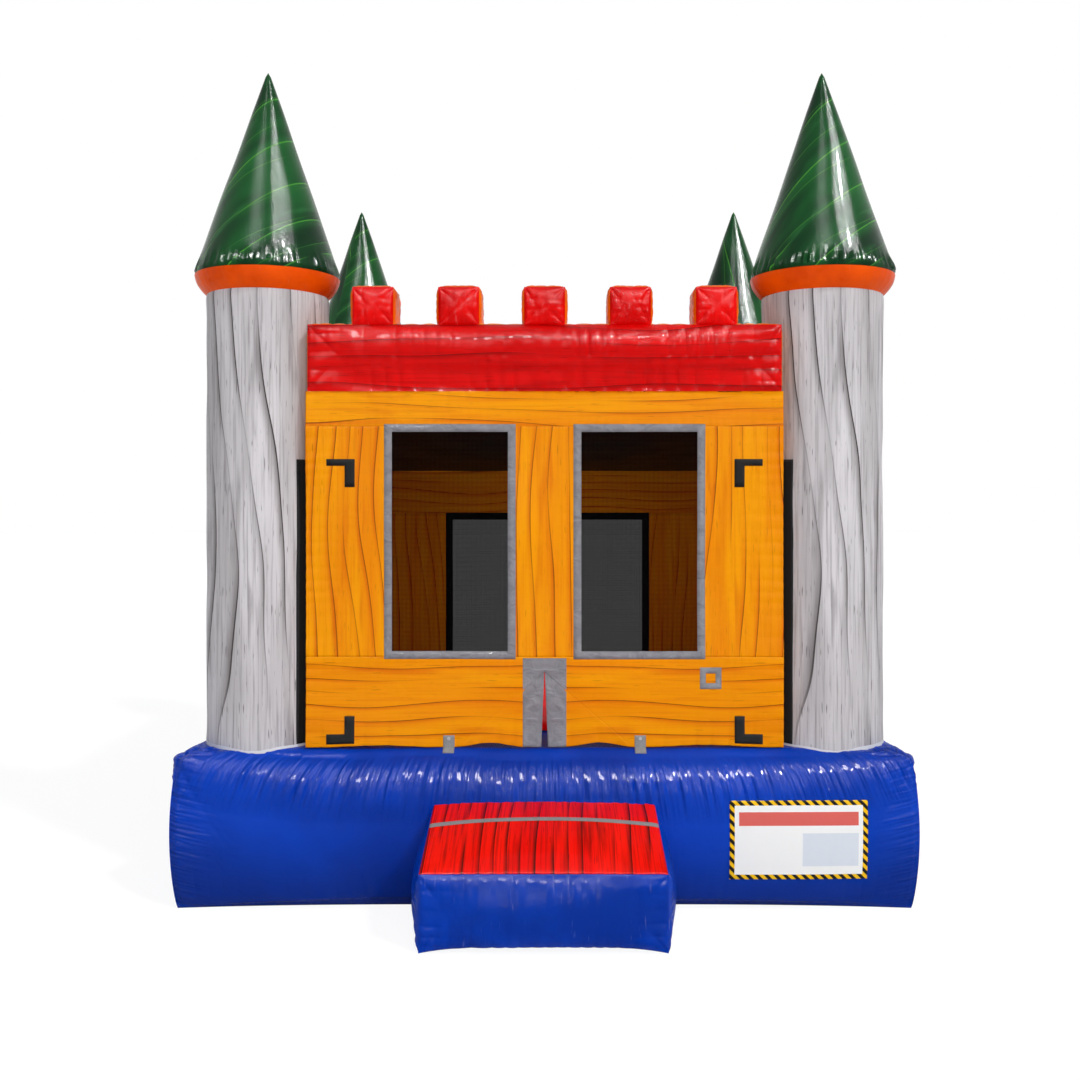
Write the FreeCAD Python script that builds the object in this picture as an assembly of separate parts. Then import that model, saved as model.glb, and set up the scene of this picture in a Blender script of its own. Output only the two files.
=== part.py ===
"""Inflatable castle bounce house, in millimetres.

A blue air base carries four round corner columns with pointed spires, four top beams with
battlements on the front one, a front sheet with two net windows and a slit doorway, three net
walls, a sloping roof sheet and an entry step. Every air chamber is a hollow vinyl skin, and the
chambers open into each other through air ports, so the whole house fills from one inlet sleeve.
The origin is the middle of the base's underside, +Z is up and the doorway faces -Y.
"""
import math
import os

import FreeCAD
import Part

V = FreeCAD.Vector
OUT = "parts"

# Base: an air mattress whose walls bulge between sharp corners
base_side = 3960.0
deck_height = 845.0
shoulder_rise = 35.0
edge_height = deck_height - shoulder_rise
deck_inset = 90.0
wall_bulge = 38.0
skin = 4.0

# Corner columns, collars and spires
column_inset = 390.0
column_spacing = base_side - 2 * column_inset
column_radius = 342.0
collar_bottom = 3362.0
collar_height = 111.0
collar_flare = 63.0
spire_height = 1183.0
spire_swell = 14.0
spire_swell_height = 62.0
spire_tip_radius = 10.0

# Top beams and battlements
beam_bottom = 2800.0
beam_height = 366.0
beam_depth = 300.0
front_beam_half = base_side / 2 - 680.0
beam_bulge = 26.0
merlon_count = 5
merlon_pitch = 471.0
merlon_width = 224.0
merlon_depth = 224.0
merlon_height = 206.0
merlon_bulge = 20.0

# Front sheet, its windows and trims
sheet = 3.0
tape = 2.0
seat_gap = 0.3
front_sheet_y = 100.0 - base_side / 2
front_sheet_half = front_beam_half + 10.0
sheet_clearance = 3.0
window_inner_x = 159.0
window_width = front_sheet_half - 588.0
header_height = 180.0
window_top = beam_bottom - header_height
window_bottom = 1331.0
frame_tape_width = 43.0
seam_lap = 12.0
header_seam = window_top - seam_lap
lower_seam = window_bottom + seam_lap
net = 2.0

# Doorway slit between two triangular flaps that fold on slanting lines
slit_top = window_bottom - 72.0
slit_bottom_half = 18.0
slit_top_half = 2.0
flap_reach = 480.0
fold_bead_share = 0.96
trim_width = 110.0
trim_top = window_bottom + 5.0
trim_fold_gap = 8.0

# Small pieces on the front sheet
tab_x = 525.0
tab_width = 62.0
tab_top = deck_height + 67.0
tab_foot = 65.0
tab_thickness = 3.0
snap_radius = 9.0
snap_drop = 17.0
hook_arm = 154.0
hook_width = 55.0
hook_outer_x = front_sheet_half - 114.0
hook_top = window_top - 192.0
hook_bottom = deck_height + 19.0
patch_x = front_sheet_half - 399.0
patch_z = 1226.0
patch_size = 118.0
patch_hole = 54.0
strip_inner_x = front_sheet_half + 2.0
strip_outer_x = strip_inner_x + 56.0
strip_thickness = 2.5

# Side and rear walls
wall_offset = base_side / 2 - 580.0
wall_window_half = 851.0
wall_window_top = 2088.0
wall_border = 59.0
border_thickness = 3.0

# Roof sheet: level under the front beam, then falling to the rear wall
roof_rear_height = 2438.0

# Bounce floor: seven sewn tubes held down by baffles
floor_half = wall_offset - 30.0
floor_front = -floor_half - 43.0
floor_tubes = 7
floor_rise = 24.0
floor_flange = 20.0
column_gap = 6.0
baffle = 3.0
baffle_end_gap = 330.0

# Entry step
step_width = 1220.0
step_length = 616.0
step_front_height = 380.0
step_rear_height = 590.0
step_rear_width = 1180.0
step_side_bulge = 40.0
step_front_bulge = 30.0
step_top_bulge = 26.0
step_skin = 3.0
strap_width = 30.0
strap_from_rear = 225.0
strap_thickness = 2.5

# Information board on the base
board_x = base_side / 2 - 620.0
board_z = 386.0
board_width = 741.0
board_height = 425.0

# Air path
deck_port_radius = 200.0
beam_port_radius = 100.0
merlon_port_radius = 60.0
step_port_radius = 90.0
step_port_z = 180.0
inlet_x = base_side / 2 - 980.0
inlet_z = 190.0
inlet_bore_radius = 136.0
inlet_length = 430.0
inlet_port_radius = 110.0
inlet_seam_radius = 120.0
inlet_seam_reach = 20.0
strap_ring_width = 40.0
strap_ring_from_mouth = 90.0
strap_ring_thickness = 3.0
check_flap_radius = 130.0

# Deflation zip and its cover, on the rear wall
zip_x = 1080.0 - base_side / 2
zip_z = 405.0
zip_length = 560.0
zip_tape_width = 44.0
zip_chain_width = 8.0
zip_chain_thickness = 3.0
slider_length = 34.0
slider_width = 22.0
slider_thickness = 9.0
slider_gap = 0.4
pull_length = 46.0
pull_width = 12.0
cover_length = 620.0
cover_drop = 118.0
cover_standoff = 23.0

# Ground anchors
anchor_y = base_side / 2 - 480.0
anchor_z = 200.0
anchor_patch = 150.0
ring_wire_radius = 4.0
ring_inner_width = 50.0
ring_inner_drop = 42.0
ring_standoff = 10.0
loop_width = 40.0
loop_wall = 2.5


def box(x0, x1, y0, y1, z0, z1):
    """Box between two corners, given in any order."""
    low = V(min(x0, x1), min(y0, y1), min(z0, z1))
    return Part.makeBox(abs(x1 - x0), abs(y1 - y0), abs(z1 - z0), low)


def cylinder(radius, height, base, axis=V(0, 0, 1)):
    return Part.makeCylinder(radius, height, base, axis)


def polygon_face(points):
    return Part.Face(Part.makePolygon(points + [points[0]]))


def front_plate(points, y0, y1):
    """Flat sheet with an (x, z) outline, between two planes of y."""
    face = polygon_face([V(x, y0, z) for x, z in points])
    return face.extrude(V(0, y1 - y0, 0))


def rectangle(x0, x1, z0, z1):
    return [(x0, z0), (x1, z0), (x1, z1), (x0, z1)]


def mirrored(points):
    return [(-x, z) for x, z in points]


def turned(shape, degrees):
    """Copy turned about the vertical axis through the origin."""
    copy = shape.copy()
    copy.rotate(V(0, 0, 0), V(0, 0, 1), degrees)
    return copy


def other_side(shape):
    """Copy mirrored from one side of the house to the other."""
    return shape.mirror(V(0, 0, 0), V(1, 0, 0))


def bulged_face(quad, bulge, outward):
    """Four-sided face with straight edges whose middle stands out by bulge."""
    if bulge == 0:
        return polygon_face(quad)
    a, b, c, d = quad
    middle = (a + b + c + d) * 0.25 + outward * bulge
    grid = [
        [a, (a + b) * 0.5, b],
        [(a + d) * 0.5, middle, (b + c) * 0.5],
        [d, (d + c) * 0.5, c],
    ]
    surface = Part.BSplineSurface()
    surface.interpolate(grid)
    return surface.toShape()


def pillow(front_half, rear_half, y_front, y_rear, z_low, front_top, rear_top, bulges):
    """Air-filled block with straight edges and bulging faces.

    Its plan narrows from front_half to rear_half, and its top may slope. bulges names how far the
    middle of each face stands out. The result is the solid and its faces by name.
    """
    f, r = front_half, rear_half
    low = [V(-f, y_front, z_low), V(f, y_front, z_low), V(r, y_rear, z_low), V(-r, y_rear, z_low)]
    high = [
        V(-f, y_front, front_top),
        V(f, y_front, front_top),
        V(r, y_rear, rear_top),
        V(-r, y_rear, rear_top),
    ]
    quads = {
        "front": ([low[0], low[1], high[1], high[0]], V(0, -1, 0)),
        "right": ([low[1], low[2], high[2], high[1]], V(1, 0, 0)),
        "rear": ([low[2], low[3], high[3], high[2]], V(0, 1, 0)),
        "left": ([low[3], low[0], high[0], high[3]], V(-1, 0, 0)),
        "top": ([high[0], high[1], high[2], high[3]], V(0, 0, 1)),
        "bottom": ([low[3], low[2], low[1], low[0]], V(0, 0, -1)),
    }
    faces = {n: bulged_face(q, bulges.get(n, 0), o) for n, (q, o) in quads.items()}
    shell = Part.makeShell(list(faces.values()))
    shell.sewShape()
    solid = Part.makeSolid(shell)
    if solid.Volume < 0:
        solid.reverse()
    return solid, faces


def column_places():
    """Corner names and centres, front pair first."""
    h = column_spacing / 2
    return {
        "front_left": (-h, -h),
        "front_right": (h, -h),
        "rear_left": (-h, h),
        "rear_right": (h, h),
    }


def column_posts(extra=0.0):
    """The four columns as plain posts, grown by extra, to cut other pieces to."""
    tall = collar_bottom - deck_height
    posts = [
        cylinder(column_radius + extra, tall, V(x, y, deck_height))
        for x, y in column_places().values()
    ]
    return posts


def deck_slope_z(y):
    """Height of the base's front shoulder at a depth y."""
    outer = -base_side / 2
    share = (y - outer) / deck_inset
    return edge_height + (deck_height - edge_height) * max(0.0, min(1.0, share))


def base_block(inset):
    """Base outline pulled in by inset: the bulged walls with the shoulder that rises to the deck."""
    w = base_side / 2 - inset
    d = base_side / 2 - inset
    sides = {n: wall_bulge for n in ("front", "right", "rear", "left")}
    block, faces = pillow(w, w, -d, d, inset, edge_height, edge_height, sides)
    wx, dy = w - deck_inset, d - deck_inset
    top = deck_height - inset
    foot = Part.makePolygon(
        [V(-w, -d, edge_height), V(w, -d, edge_height), V(w, d, edge_height),
         V(-w, d, edge_height), V(-w, -d, edge_height)]
    )
    head = Part.makePolygon(
        [V(-wx, -dy, top), V(wx, -dy, top), V(wx, dy, top), V(-wx, dy, top), V(-wx, -dy, top)]
    )
    shoulder = Part.makeLoft([foot, head], True, True)
    return block.fuse(shoulder).removeSplitter(), faces


def floor_opening(extra=0.0):
    """Plan of the bounce floor, grown by extra, clear of the columns, as a tall block."""
    half = floor_half + extra
    block = box(-half, half, floor_front - extra, half, edge_height - 200, deck_height + 200)
    for x, y in column_places().values():
        post = cylinder(column_radius + column_gap - extra, collar_bottom, V(x, y, 0))
        block = block.cut(post)
    return block


def make_base():
    """Hollow blue skin of the base, open under the floor and at the air ports."""
    outer, faces = base_block(0)
    inner, _ = base_block(skin)
    body = outer.cut(inner).cut(floor_opening())
    for x, y in column_places().values():
        foot = V(x, y, deck_height - 2 * skin)
        body = body.cut(cylinder(deck_port_radius, 4 * skin, foot))
    reach = skin + wall_bulge + 40
    front = -base_side / 2 - reach
    body = body.cut(cylinder(step_port_radius, 2 * reach, V(0, front, step_port_z), V(0, 1, 0)))
    rear = base_side / 2 - reach
    body = body.cut(cylinder(inlet_port_radius, 2 * reach, V(inlet_x, rear, inlet_z), V(0, 1, 0)))
    return body, outer, faces


def tube_edges():
    """The x of each seam between the bounce floor's tubes."""
    width = 2 * floor_half / floor_tubes
    return [-floor_half + i * width for i in range(floor_tubes + 1)]


def tube_arc(x0, x1, z, rise):
    return Part.Arc(V(x0, 0, z), V((x0 + x1) / 2, 0, z + rise), V(x1, 0, z)).toShape()


def make_bounce_floor():
    """Red floor sheet: arched tubes over the opening, closed at both ends, with a flat flange."""
    xs = tube_edges()
    low, high = deck_height, deck_height + skin
    edges = []
    for x0, x1 in zip(xs, xs[1:]):
        edges.append(tube_arc(x0, x1, high, floor_rise))
    left, right = xs[0] - floor_flange, xs[-1] + floor_flange
    edges.append(Part.makeLine(V(xs[-1], 0, high), V(right, 0, high)))
    edges.append(Part.makeLine(V(right, 0, high), V(right, 0, low)))
    edges.append(Part.makeLine(V(right, 0, low), V(left, 0, low)))
    edges.append(Part.makeLine(V(left, 0, low), V(left, 0, high)))
    edges.append(Part.makeLine(V(left, 0, high), V(xs[0], 0, high)))
    section = Part.Face(Part.Wire(Part.__sortEdges__(edges)))
    y0, y1 = floor_front - floor_flange, floor_half + floor_flange
    section.translate(V(0, y0, 0))
    block = section.extrude(V(0, y1 - y0, 0))
    for x0, x1 in zip(xs, xs[1:]):
        room = Part.Face(
            Part.Wire([
                tube_arc(x0 + skin, x1 - skin, low, floor_rise),
                Part.makeLine(V(x1 - skin, 0, low), V(x0 + skin, 0, low)),
            ])
        )
        room.translate(V(0, floor_front + skin, 0))
        block = block.cut(room.extrude(V(0, floor_half - floor_front - 2 * skin, 0)))
    for post in column_posts(column_gap - floor_flange / 5):
        block = block.cut(post)
    return block


def make_baffles():
    """Upright webs inside the base that hold the bounce floor down at each seam."""
    webs = []
    end = base_side / 2 - baffle_end_gap
    top = deck_height - seat_gap
    for x in tube_edges()[1:-1]:
        web = box(x - baffle / 2, x + baffle / 2, floor_front + 10, floor_half - 10, skin, top)
        low = box(x - baffle / 2, x + baffle / 2, -end, end, skin, edge_height - 2 * skin)
        webs.append(web.fuse(low).removeSplitter())
    return Part.makeCompound(webs)


def revolved(points):
    """Solid of revolution about Z from a closed (radius, z) outline of straight runs."""
    face = polygon_face([V(r, 0, z) for r, z in points])
    return face.revolve(V(0, 0, 0), V(0, 0, 1), 360)


def make_column():
    tall = collar_bottom - deck_height
    base = V(0, 0, deck_height)
    return cylinder(column_radius, tall, base).cut(cylinder(column_radius - skin, tall, base))


def make_collar():
    low, high = collar_bottom, collar_bottom + collar_height
    r0, r1 = column_radius, column_radius + collar_flare
    return revolved([(r0 - skin, low), (r0, low), (r1, high), (r1 - skin, high)])


def spire_outline(inset):
    """Half outline of a spire: a swell above the collar seam, then a straight cone to a round tip."""
    seam = collar_bottom + collar_height
    tip = seam + spire_height
    r_seam = column_radius + collar_flare - inset
    r_swell = r_seam + spire_swell
    z_swell = seam + spire_swell_height * 0.75
    r_cone = r_seam + spire_swell * 0.6
    z_cone = seam + spire_swell_height * 1.4
    half_angle = math.atan2(r_cone, tip - z_cone)
    drop = inset / math.sin(half_angle)
    ball = spire_tip_radius
    centre = tip - drop - ball
    r_tan = ball * math.cos(half_angle)
    z_tan = centre + ball * math.sin(half_angle)
    top = V(0, 0, centre + ball)
    mid_angle = (math.pi / 2 + half_angle) / 2
    mid = V(ball * math.cos(mid_angle), 0, centre + ball * math.sin(mid_angle))
    return [
        Part.Arc(V(r_seam, 0, seam), V(r_swell, 0, z_swell), V(r_cone, 0, z_cone)).toShape(),
        Part.makeLine(V(r_cone, 0, z_cone), V(r_tan, 0, z_tan)),
        Part.Arc(V(r_tan, 0, z_tan), mid, top).toShape(),
        Part.makeLine(top, V(0, 0, seam)),
        Part.makeLine(V(0, 0, seam), V(r_seam, 0, seam)),
    ]


def make_spire():
    shapes = []
    for inset in (0, skin):
        face = Part.Face(Part.Wire(spire_outline(inset)))
        shapes.append(face.revolve(V(0, 0, 0), V(0, 0, 1), 360))
    return shapes[0].cut(shapes[1])


def make_beam(y_outer, half, ports_up=()):
    """Hollow beam along X with its outer face at y_outer, its ends shaped to the columns."""
    y_inner = y_outer + math.copysign(beam_depth, -y_outer)
    y0, y1 = min(y_outer, y_inner), max(y_outer, y_inner)
    top = beam_bottom + beam_height
    bulge = {"front": beam_bulge, "rear": beam_bulge}
    outer, _ = pillow(half, half, y0, y1, beam_bottom, top, top, bulge)
    room = half - skin
    inner, _ = pillow(
        room, room, y0 + skin, y1 - skin, beam_bottom + skin, top - skin, top - skin, bulge
    )
    posts = column_posts()
    thick_posts = column_posts(skin)
    for post in posts:
        outer = outer.cut(post)
    for post in thick_posts:
        inner = inner.cut(post)
    body = outer.cut(inner).cut(beam_port((y0 + y1) / 2))
    for x in ports_up:
        body = body.cut(cylinder(merlon_port_radius, 2 * skin, V(x, (y0 + y1) / 2, top - skin * 1.5)))
    middle = [s for s in body.Solids if abs(s.BoundBox.Center.x) < 1]
    return middle[0]


def beam_port(y):
    """Bar along X that opens a beam's ends and the columns beside it."""
    half = column_spacing / 2
    z = beam_bottom + beam_height / 2
    return cylinder(beam_port_radius, 2 * half, V(-half, y, z), V(1, 0, 0))


def front_beam_outer():
    return front_sheet_y - 10.0


def ring_beam_outer():
    return wall_offset + beam_depth


def merlon_places():
    first = -(merlon_count - 1) / 2
    return [(first + i) * merlon_pitch for i in range(merlon_count)]


def make_merlons():
    """Battlement blocks standing in a row on the front beam."""
    low = beam_bottom + beam_height
    high = low + merlon_height
    y = front_beam_outer() + beam_depth / 2 - (beam_depth - merlon_depth) / 2
    w, d = merlon_width / 2, merlon_depth / 2
    bulge = {n: merlon_bulge for n in ("front", "right", "rear", "left", "top")}
    outer, _ = pillow(w, w, -d, d, low, high, high, bulge)
    inner, _ = pillow(w - skin, w - skin, -d + skin, d - skin, low + skin, high - skin, high - skin, bulge)
    one = outer.cut(inner).cut(cylinder(merlon_port_radius, 2 * skin, V(0, 0, low - skin / 2)))
    row = []
    for x in merlon_places():
        copy = one.copy()
        copy.translate(V(x, y, 0))
        row.append(copy)
    return Part.makeCompound(row), y


def finish_columns(one):
    """Each column with the ports that open into the beams beside it."""
    made = {}
    ring_y = ring_beam_outer() - beam_depth / 2
    front_y = front_beam_outer() + beam_depth / 2
    bars = [
        beam_port(front_y),
        beam_port(ring_y),
        turned(beam_port(ring_y), 90),
        turned(beam_port(ring_y), -90),
    ]
    for name, (x, y) in column_places().items():
        column = one.copy()
        column.translate(V(x, y, 0))
        for bar in bars:
            column = column.cut(bar)
        made[name] = column
    return made


def fold_line():
    """The right-hand doorway fold in (x, z): from the slit's top to the foot beside the tab."""
    return (0.0, slit_top), (flap_reach, deck_height + sheet_clearance)


def fold_shift(distance):
    """Moves a point square to the right-hand fold line, positive away from the doorway."""
    (x0, z0), (x1, z1) = fold_line()
    length = math.hypot(x1 - x0, z1 - z0)
    return distance * (z0 - z1) / length, distance * (x1 - x0) / length


def flap_outline(back_off):
    """Right-hand flap in (x, z), kept back_off inside its fold line."""
    (x0, z0), (x1, z1) = fold_line()
    dx, dz = fold_shift(-back_off)
    slope = (z1 - z0) / (x1 - x0)
    line_z = z0 + dz - slope * (x0 + dx)
    foot = (z1 - line_z) / slope
    # The slit's edge runs from slit_bottom_half at the foot to slit_top_half at the top.
    lean = (slit_top_half - slit_bottom_half) / (z0 - z1)
    apex_x = (slit_bottom_half + lean * (line_z - z1)) / (1 - lean * slope)
    apex_z = slope * apex_x + line_z
    return [(slit_bottom_half, z1), (foot, z1), (apex_x, apex_z)]


def fold_bead():
    """Rolled edge of the right-hand flap, centred on its fold line."""
    (x0, z0), (x1, z1) = fold_line()
    along = V(x1 - x0, 0, z1 - z0)
    start = V(x0, front_sheet_y - sheet / 2, z0) + along * ((1 - fold_bead_share) / 2)
    return cylinder(sheet / 2, along.Length * fold_bead_share, start, along)


def lower_outline():
    """Right-hand lower band in (x, z), cut back from the fold line to seat the flap's bead."""
    (x0, z0), (x1, z1) = fold_line()
    dx, dz = fold_shift(sheet / 2 + seat_gap)
    slope = (z1 - z0) / (x1 - x0)
    line_z = z0 + dz - slope * (x0 + dx)
    foot = (z1 - line_z) / slope
    return [(foot, z1), (front_sheet_half, z1), (front_sheet_half, lower_seam), (0, lower_seam), (0, line_z)]


def trim_outline():
    """Right-hand half of the grey doorway trim in (x, z), from the sheet's foot to its top."""
    z1 = deck_height + sheet_clearance
    return [
        (slit_bottom_half, z1),
        (trim_width + slit_bottom_half / 2, z1),
        (trim_width + slit_bottom_half / 2, trim_top),
        (0, trim_top),
        (0, slit_top),
        (slit_top_half, slit_top),
    ]


def make_doorway():
    """Fixed lower bands, the two flaps, and the grey trim split along the folds."""
    y0, y1, y2 = front_sheet_y - sheet - tape, front_sheet_y - sheet, front_sheet_y
    made = {}
    fold_back = flap_outline(trim_fold_gap)
    fixed_line = flap_outline(-trim_fold_gap)
    foot, apex = fixed_line[1], fixed_line[2]
    below = [(-1.0, foot[1] - 10), foot, (0.0, apex[1] + apex[0] * (slit_top - foot[1]) / flap_reach)]
    halves = []
    for side, flip in (("right", list), ("left", mirrored)):
        made["front_lower_" + side] = front_plate(flip(lower_outline()), y1, y2)
        bead = fold_bead() if side == "right" else other_side(fold_bead())
        flap = front_plate(flip(flap_outline(0)), y1, y2)
        made["door_flap_" + side] = flap.fuse(bead).removeSplitter()
        trim = front_plate(flip(trim_outline()), y0, y1)
        on_flap = front_plate(flip(fold_back), y0, y1)
        made["door_trim_" + side] = trim.common(on_flap)
        halves.append(trim.cut(front_plate(flip(below), y0, y1)))
    fixed = halves[0].fuse(halves[1]).removeSplitter()
    made["entrance_trim"] = max(fixed.Solids, key=lambda s: s.Volume)
    return made


def make_front_sheet():
    """The rest of the front sheet, its net windows, tape frames and side returns."""
    y0, y1, y2 = front_sheet_y - sheet - tape, front_sheet_y - sheet, front_sheet_y
    half = front_sheet_half
    open_in = window_inner_x + seam_lap
    open_out = window_inner_x + window_width - seam_lap
    header = front_plate(rectangle(-half, half, header_seam, beam_bottom), y1, y2)
    uprights = [
        front_plate(rectangle(-open_in, open_in, lower_seam, header_seam), y1, y2),
        front_plate(rectangle(open_out, half, lower_seam, header_seam), y1, y2),
        front_plate(mirrored(rectangle(open_out, half, lower_seam, header_seam)), y1, y2),
    ]
    nets, frames = [], []
    w0, w1 = window_inner_x, window_inner_x + window_width
    t = frame_tape_width
    for flip in (list, mirrored):
        nets.append(front_plate(flip(rectangle(w0, w1, window_bottom, window_top)), y2, y2 + net))
        outer = front_plate(flip(rectangle(w0, w1, window_bottom, window_top)), y0, y1)
        hole = front_plate(
            flip(rectangle(w0 + t, w1 - t, window_bottom + t, window_top - t)), y0 - 1, y1 + 1
        )
        frames.append(outer.cut(hole))
    p, h = patch_size / 2, patch_hole / 2
    patch = front_plate(rectangle(patch_x - p, patch_x + p, patch_z - p, patch_z + p), y0, y1)
    hole = rectangle(patch_x - h, patch_x + h, patch_z - h, patch_z + h)
    frames.append(patch.cut(front_plate(hole, y0 - 1, y1 + 1)))
    returns = []
    for side in (-1, 1):
        strip = box(
            side * half, side * (half - sheet), y2, y2 + 140, deck_height, beam_bottom - sheet
        )
        for post in column_posts():
            strip = strip.cut(post)
        returns.append(strip)
    return {
        "front_header_band": header,
        "front_uprights": Part.makeCompound(uprights),
        "front_window_nets": Part.makeCompound(nets),
        "front_tape_frames": Part.makeCompound(frames),
        "front_side_returns": Part.makeCompound(returns),
    }


def make_hook_pieces():
    """Black hook-and-loop: an angle near each corner of the sheet and a strip on each column."""
    y0, y1 = front_sheet_y - sheet - tape, front_sheet_y - sheet
    a, w, x = hook_arm, hook_width, hook_outer_x
    top = [
        (x - a, hook_top - a), (x - a + w, hook_top - a), (x - a + w, hook_top - w),
        (x, hook_top - w), (x, hook_top), (x - a, hook_top),
    ]
    low = [
        (x - a, hook_bottom + a), (x - a, hook_bottom), (x, hook_bottom),
        (x, hook_bottom + w), (x - a + w, hook_bottom + w), (x - a + w, hook_bottom + a),
    ]
    corners = [front_plate(flip(p), y0, y1) for p in (top, low) for flip in (list, mirrored)]
    strips = []
    for name in ("front_left", "front_right"):
        x, y = column_places()[name]
        side = math.copysign(1, x)
        tall = hook_top - deck_height
        seat = column_radius + seat_gap
        ring = cylinder(seat + strip_thickness, tall, V(x, y, deck_height))
        ring = ring.cut(cylinder(seat, tall, V(x, y, deck_height)))
        span = box(
            side * strip_inner_x, side * strip_outer_x, y - 2 * column_radius, y,
            deck_height, hook_top,
        )
        strips.append(ring.common(span))
    return Part.makeCompound(corners), Part.makeCompound(strips)


def make_tabs():
    """Grey hold-down tabs from the sheet's foot to the deck's shoulder, with their snaps."""
    y1 = front_sheet_y - sheet
    t = tab_thickness
    rim = -base_side / 2 + deck_inset
    toe = rim - tab_foot
    z_toe = deck_slope_z(toe)
    profile = [
        (y1, tab_top), (y1, deck_height), (rim, deck_height), (toe, z_toe),
        (toe, z_toe + t), (min(rim, y1 - t), deck_height + t), (y1 - t, deck_height + t), (y1 - t, tab_top),
    ]
    tabs, snaps = [], []
    for side in (-1, 1):
        x = side * tab_x
        face = polygon_face([V(x - tab_width / 2, y, z) for y, z in profile])
        tabs.append(face.extrude(V(tab_width, 0, 0)))
        snaps.append(cylinder(snap_radius, t, V(x, y1 - t, tab_top - snap_drop), V(0, -1, 0)))
    return Part.makeCompound(tabs), Part.makeCompound(snaps)


def wall_set():
    """One net wall, built as the rear one: vinyl panels, the net, and its black border."""
    y0 = wall_offset
    half = column_spacing / 2
    z0 = deck_height + sheet_clearance
    w, top, b = wall_window_half, wall_window_top, wall_border
    lap = seam_lap
    panels = [
        front_plate(rectangle(-half, half, top - lap, beam_bottom), y0, y0 + sheet),
        front_plate(rectangle(w - lap, half, z0, top - lap), y0, y0 + sheet),
        front_plate(mirrored(rectangle(w - lap, half, z0, top - lap)), y0, y0 + sheet),
    ]
    trimmed = []
    for panel in panels:
        for post in column_posts():
            panel = panel.cut(post)
        trimmed.append(max(panel.Solids, key=lambda s: s.Volume))
    net_sheet = front_plate(rectangle(-w, w, z0, top), y0 - net, y0)
    y_in = y0 - net - border_thickness
    border = front_plate(rectangle(-w, w, z0, top), y_in, y0 - net)
    hole = front_plate(rectangle(-w + b, w - b, z0 + b, top - b), y_in - 1, y0 - net + 1)
    return Part.makeCompound(trimmed), net_sheet, border.cut(hole)


def make_roof():
    """Roof sheet, cut round the columns."""
    t = sheet
    inner = front_beam_outer() + beam_depth
    profile = [
        (front_sheet_y, beam_bottom - t), (front_sheet_y, beam_bottom), (inner, beam_bottom),
        (wall_offset, roof_rear_height), (wall_offset, roof_rear_height - t), (inner, beam_bottom - t),
    ]
    face = polygon_face([V(-wall_offset, y, z) for y, z in profile])
    body = face.extrude(V(2 * wall_offset, 0, 0))
    half = front_sheet_half - sheet
    front_room = box(-wall_offset, -half, front_sheet_y, inner, 0, collar_bottom)
    body = body.cut(front_room).cut(other_side(front_room))
    for post in column_posts():
        body = body.cut(post)
    return max(body.Solids, key=lambda s: s.Volume)


def make_step(base_outer):
    """Hollow entry step, its red top sheet and the grey grip strap."""
    y_rear = -base_side / 2 + wall_bulge
    y_front = -base_side / 2 - step_length
    fall = (step_rear_height - step_front_height) / step_length
    rear_top = step_rear_height + fall * wall_bulge
    bulge = {
        "front": step_front_bulge, "left": step_side_bulge,
        "right": step_side_bulge, "top": step_top_bulge,
    }
    f, r = step_width / 2, step_rear_width / 2
    outer, faces = pillow(f, r, y_front, y_rear, 0, step_front_height, rear_top, bulge)
    s = step_skin
    inner, _ = pillow(
        f - s, r - s, y_front + s, y_rear, s, step_front_height - s, rear_top - s, bulge
    )
    thick_base, _ = base_block(-s)
    body = outer.cut(base_outer).cut(inner.cut(thick_base))
    reach = 100.0
    start = V(0, -base_side / 2 - reach, step_port_z)
    body = body.cut(cylinder(step_port_radius, 2 * reach, start, V(0, 1, 0)))
    body = max(body.Solids, key=lambda x: x.Volume)
    top_sheet = faces["top"].extrude(V(0, 0, sheet)).cut(base_outer)
    raised = faces["top"].copy()
    raised.translate(V(0, 0, sheet))
    y_strap = -base_side / 2 - strap_from_rear
    span = box(-f, f, y_strap, y_strap - strap_width, 0, 2 * step_rear_height)
    strap = raised.common(span).extrude(V(0, 0, strap_thickness))
    return body, max(top_sheet.Solids, key=lambda x: x.Volume), strap


def on_wall(face, span, outward, thickness):
    """Sheet of the given thickness that lies on the part of a bulged wall inside span."""
    return face.common(span).extrude(outward * thickness)


def make_board(faces):
    w, h = board_width / 2, board_height / 2
    span = box(board_x - w, board_x + w, -base_side, 0, board_z - h, board_z + h)
    return on_wall(faces["front"], span, V(0, -1, 0), tape)


def wall_point(face, across, height, along_x):
    """Where a bulged wall stands at a place, as its outward coordinate."""
    if along_x:
        line = Part.makeLine(V(across, 0, height), V(across, face.BoundBox.YMax + 50, height))
        return max(v.Point.y for v in face.section(line).Vertexes)
    line = Part.makeLine(V(0, across, height), V(face.BoundBox.XMax + 50, across, height))
    return max(v.Point.x for v in face.section(line).Vertexes)


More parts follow.
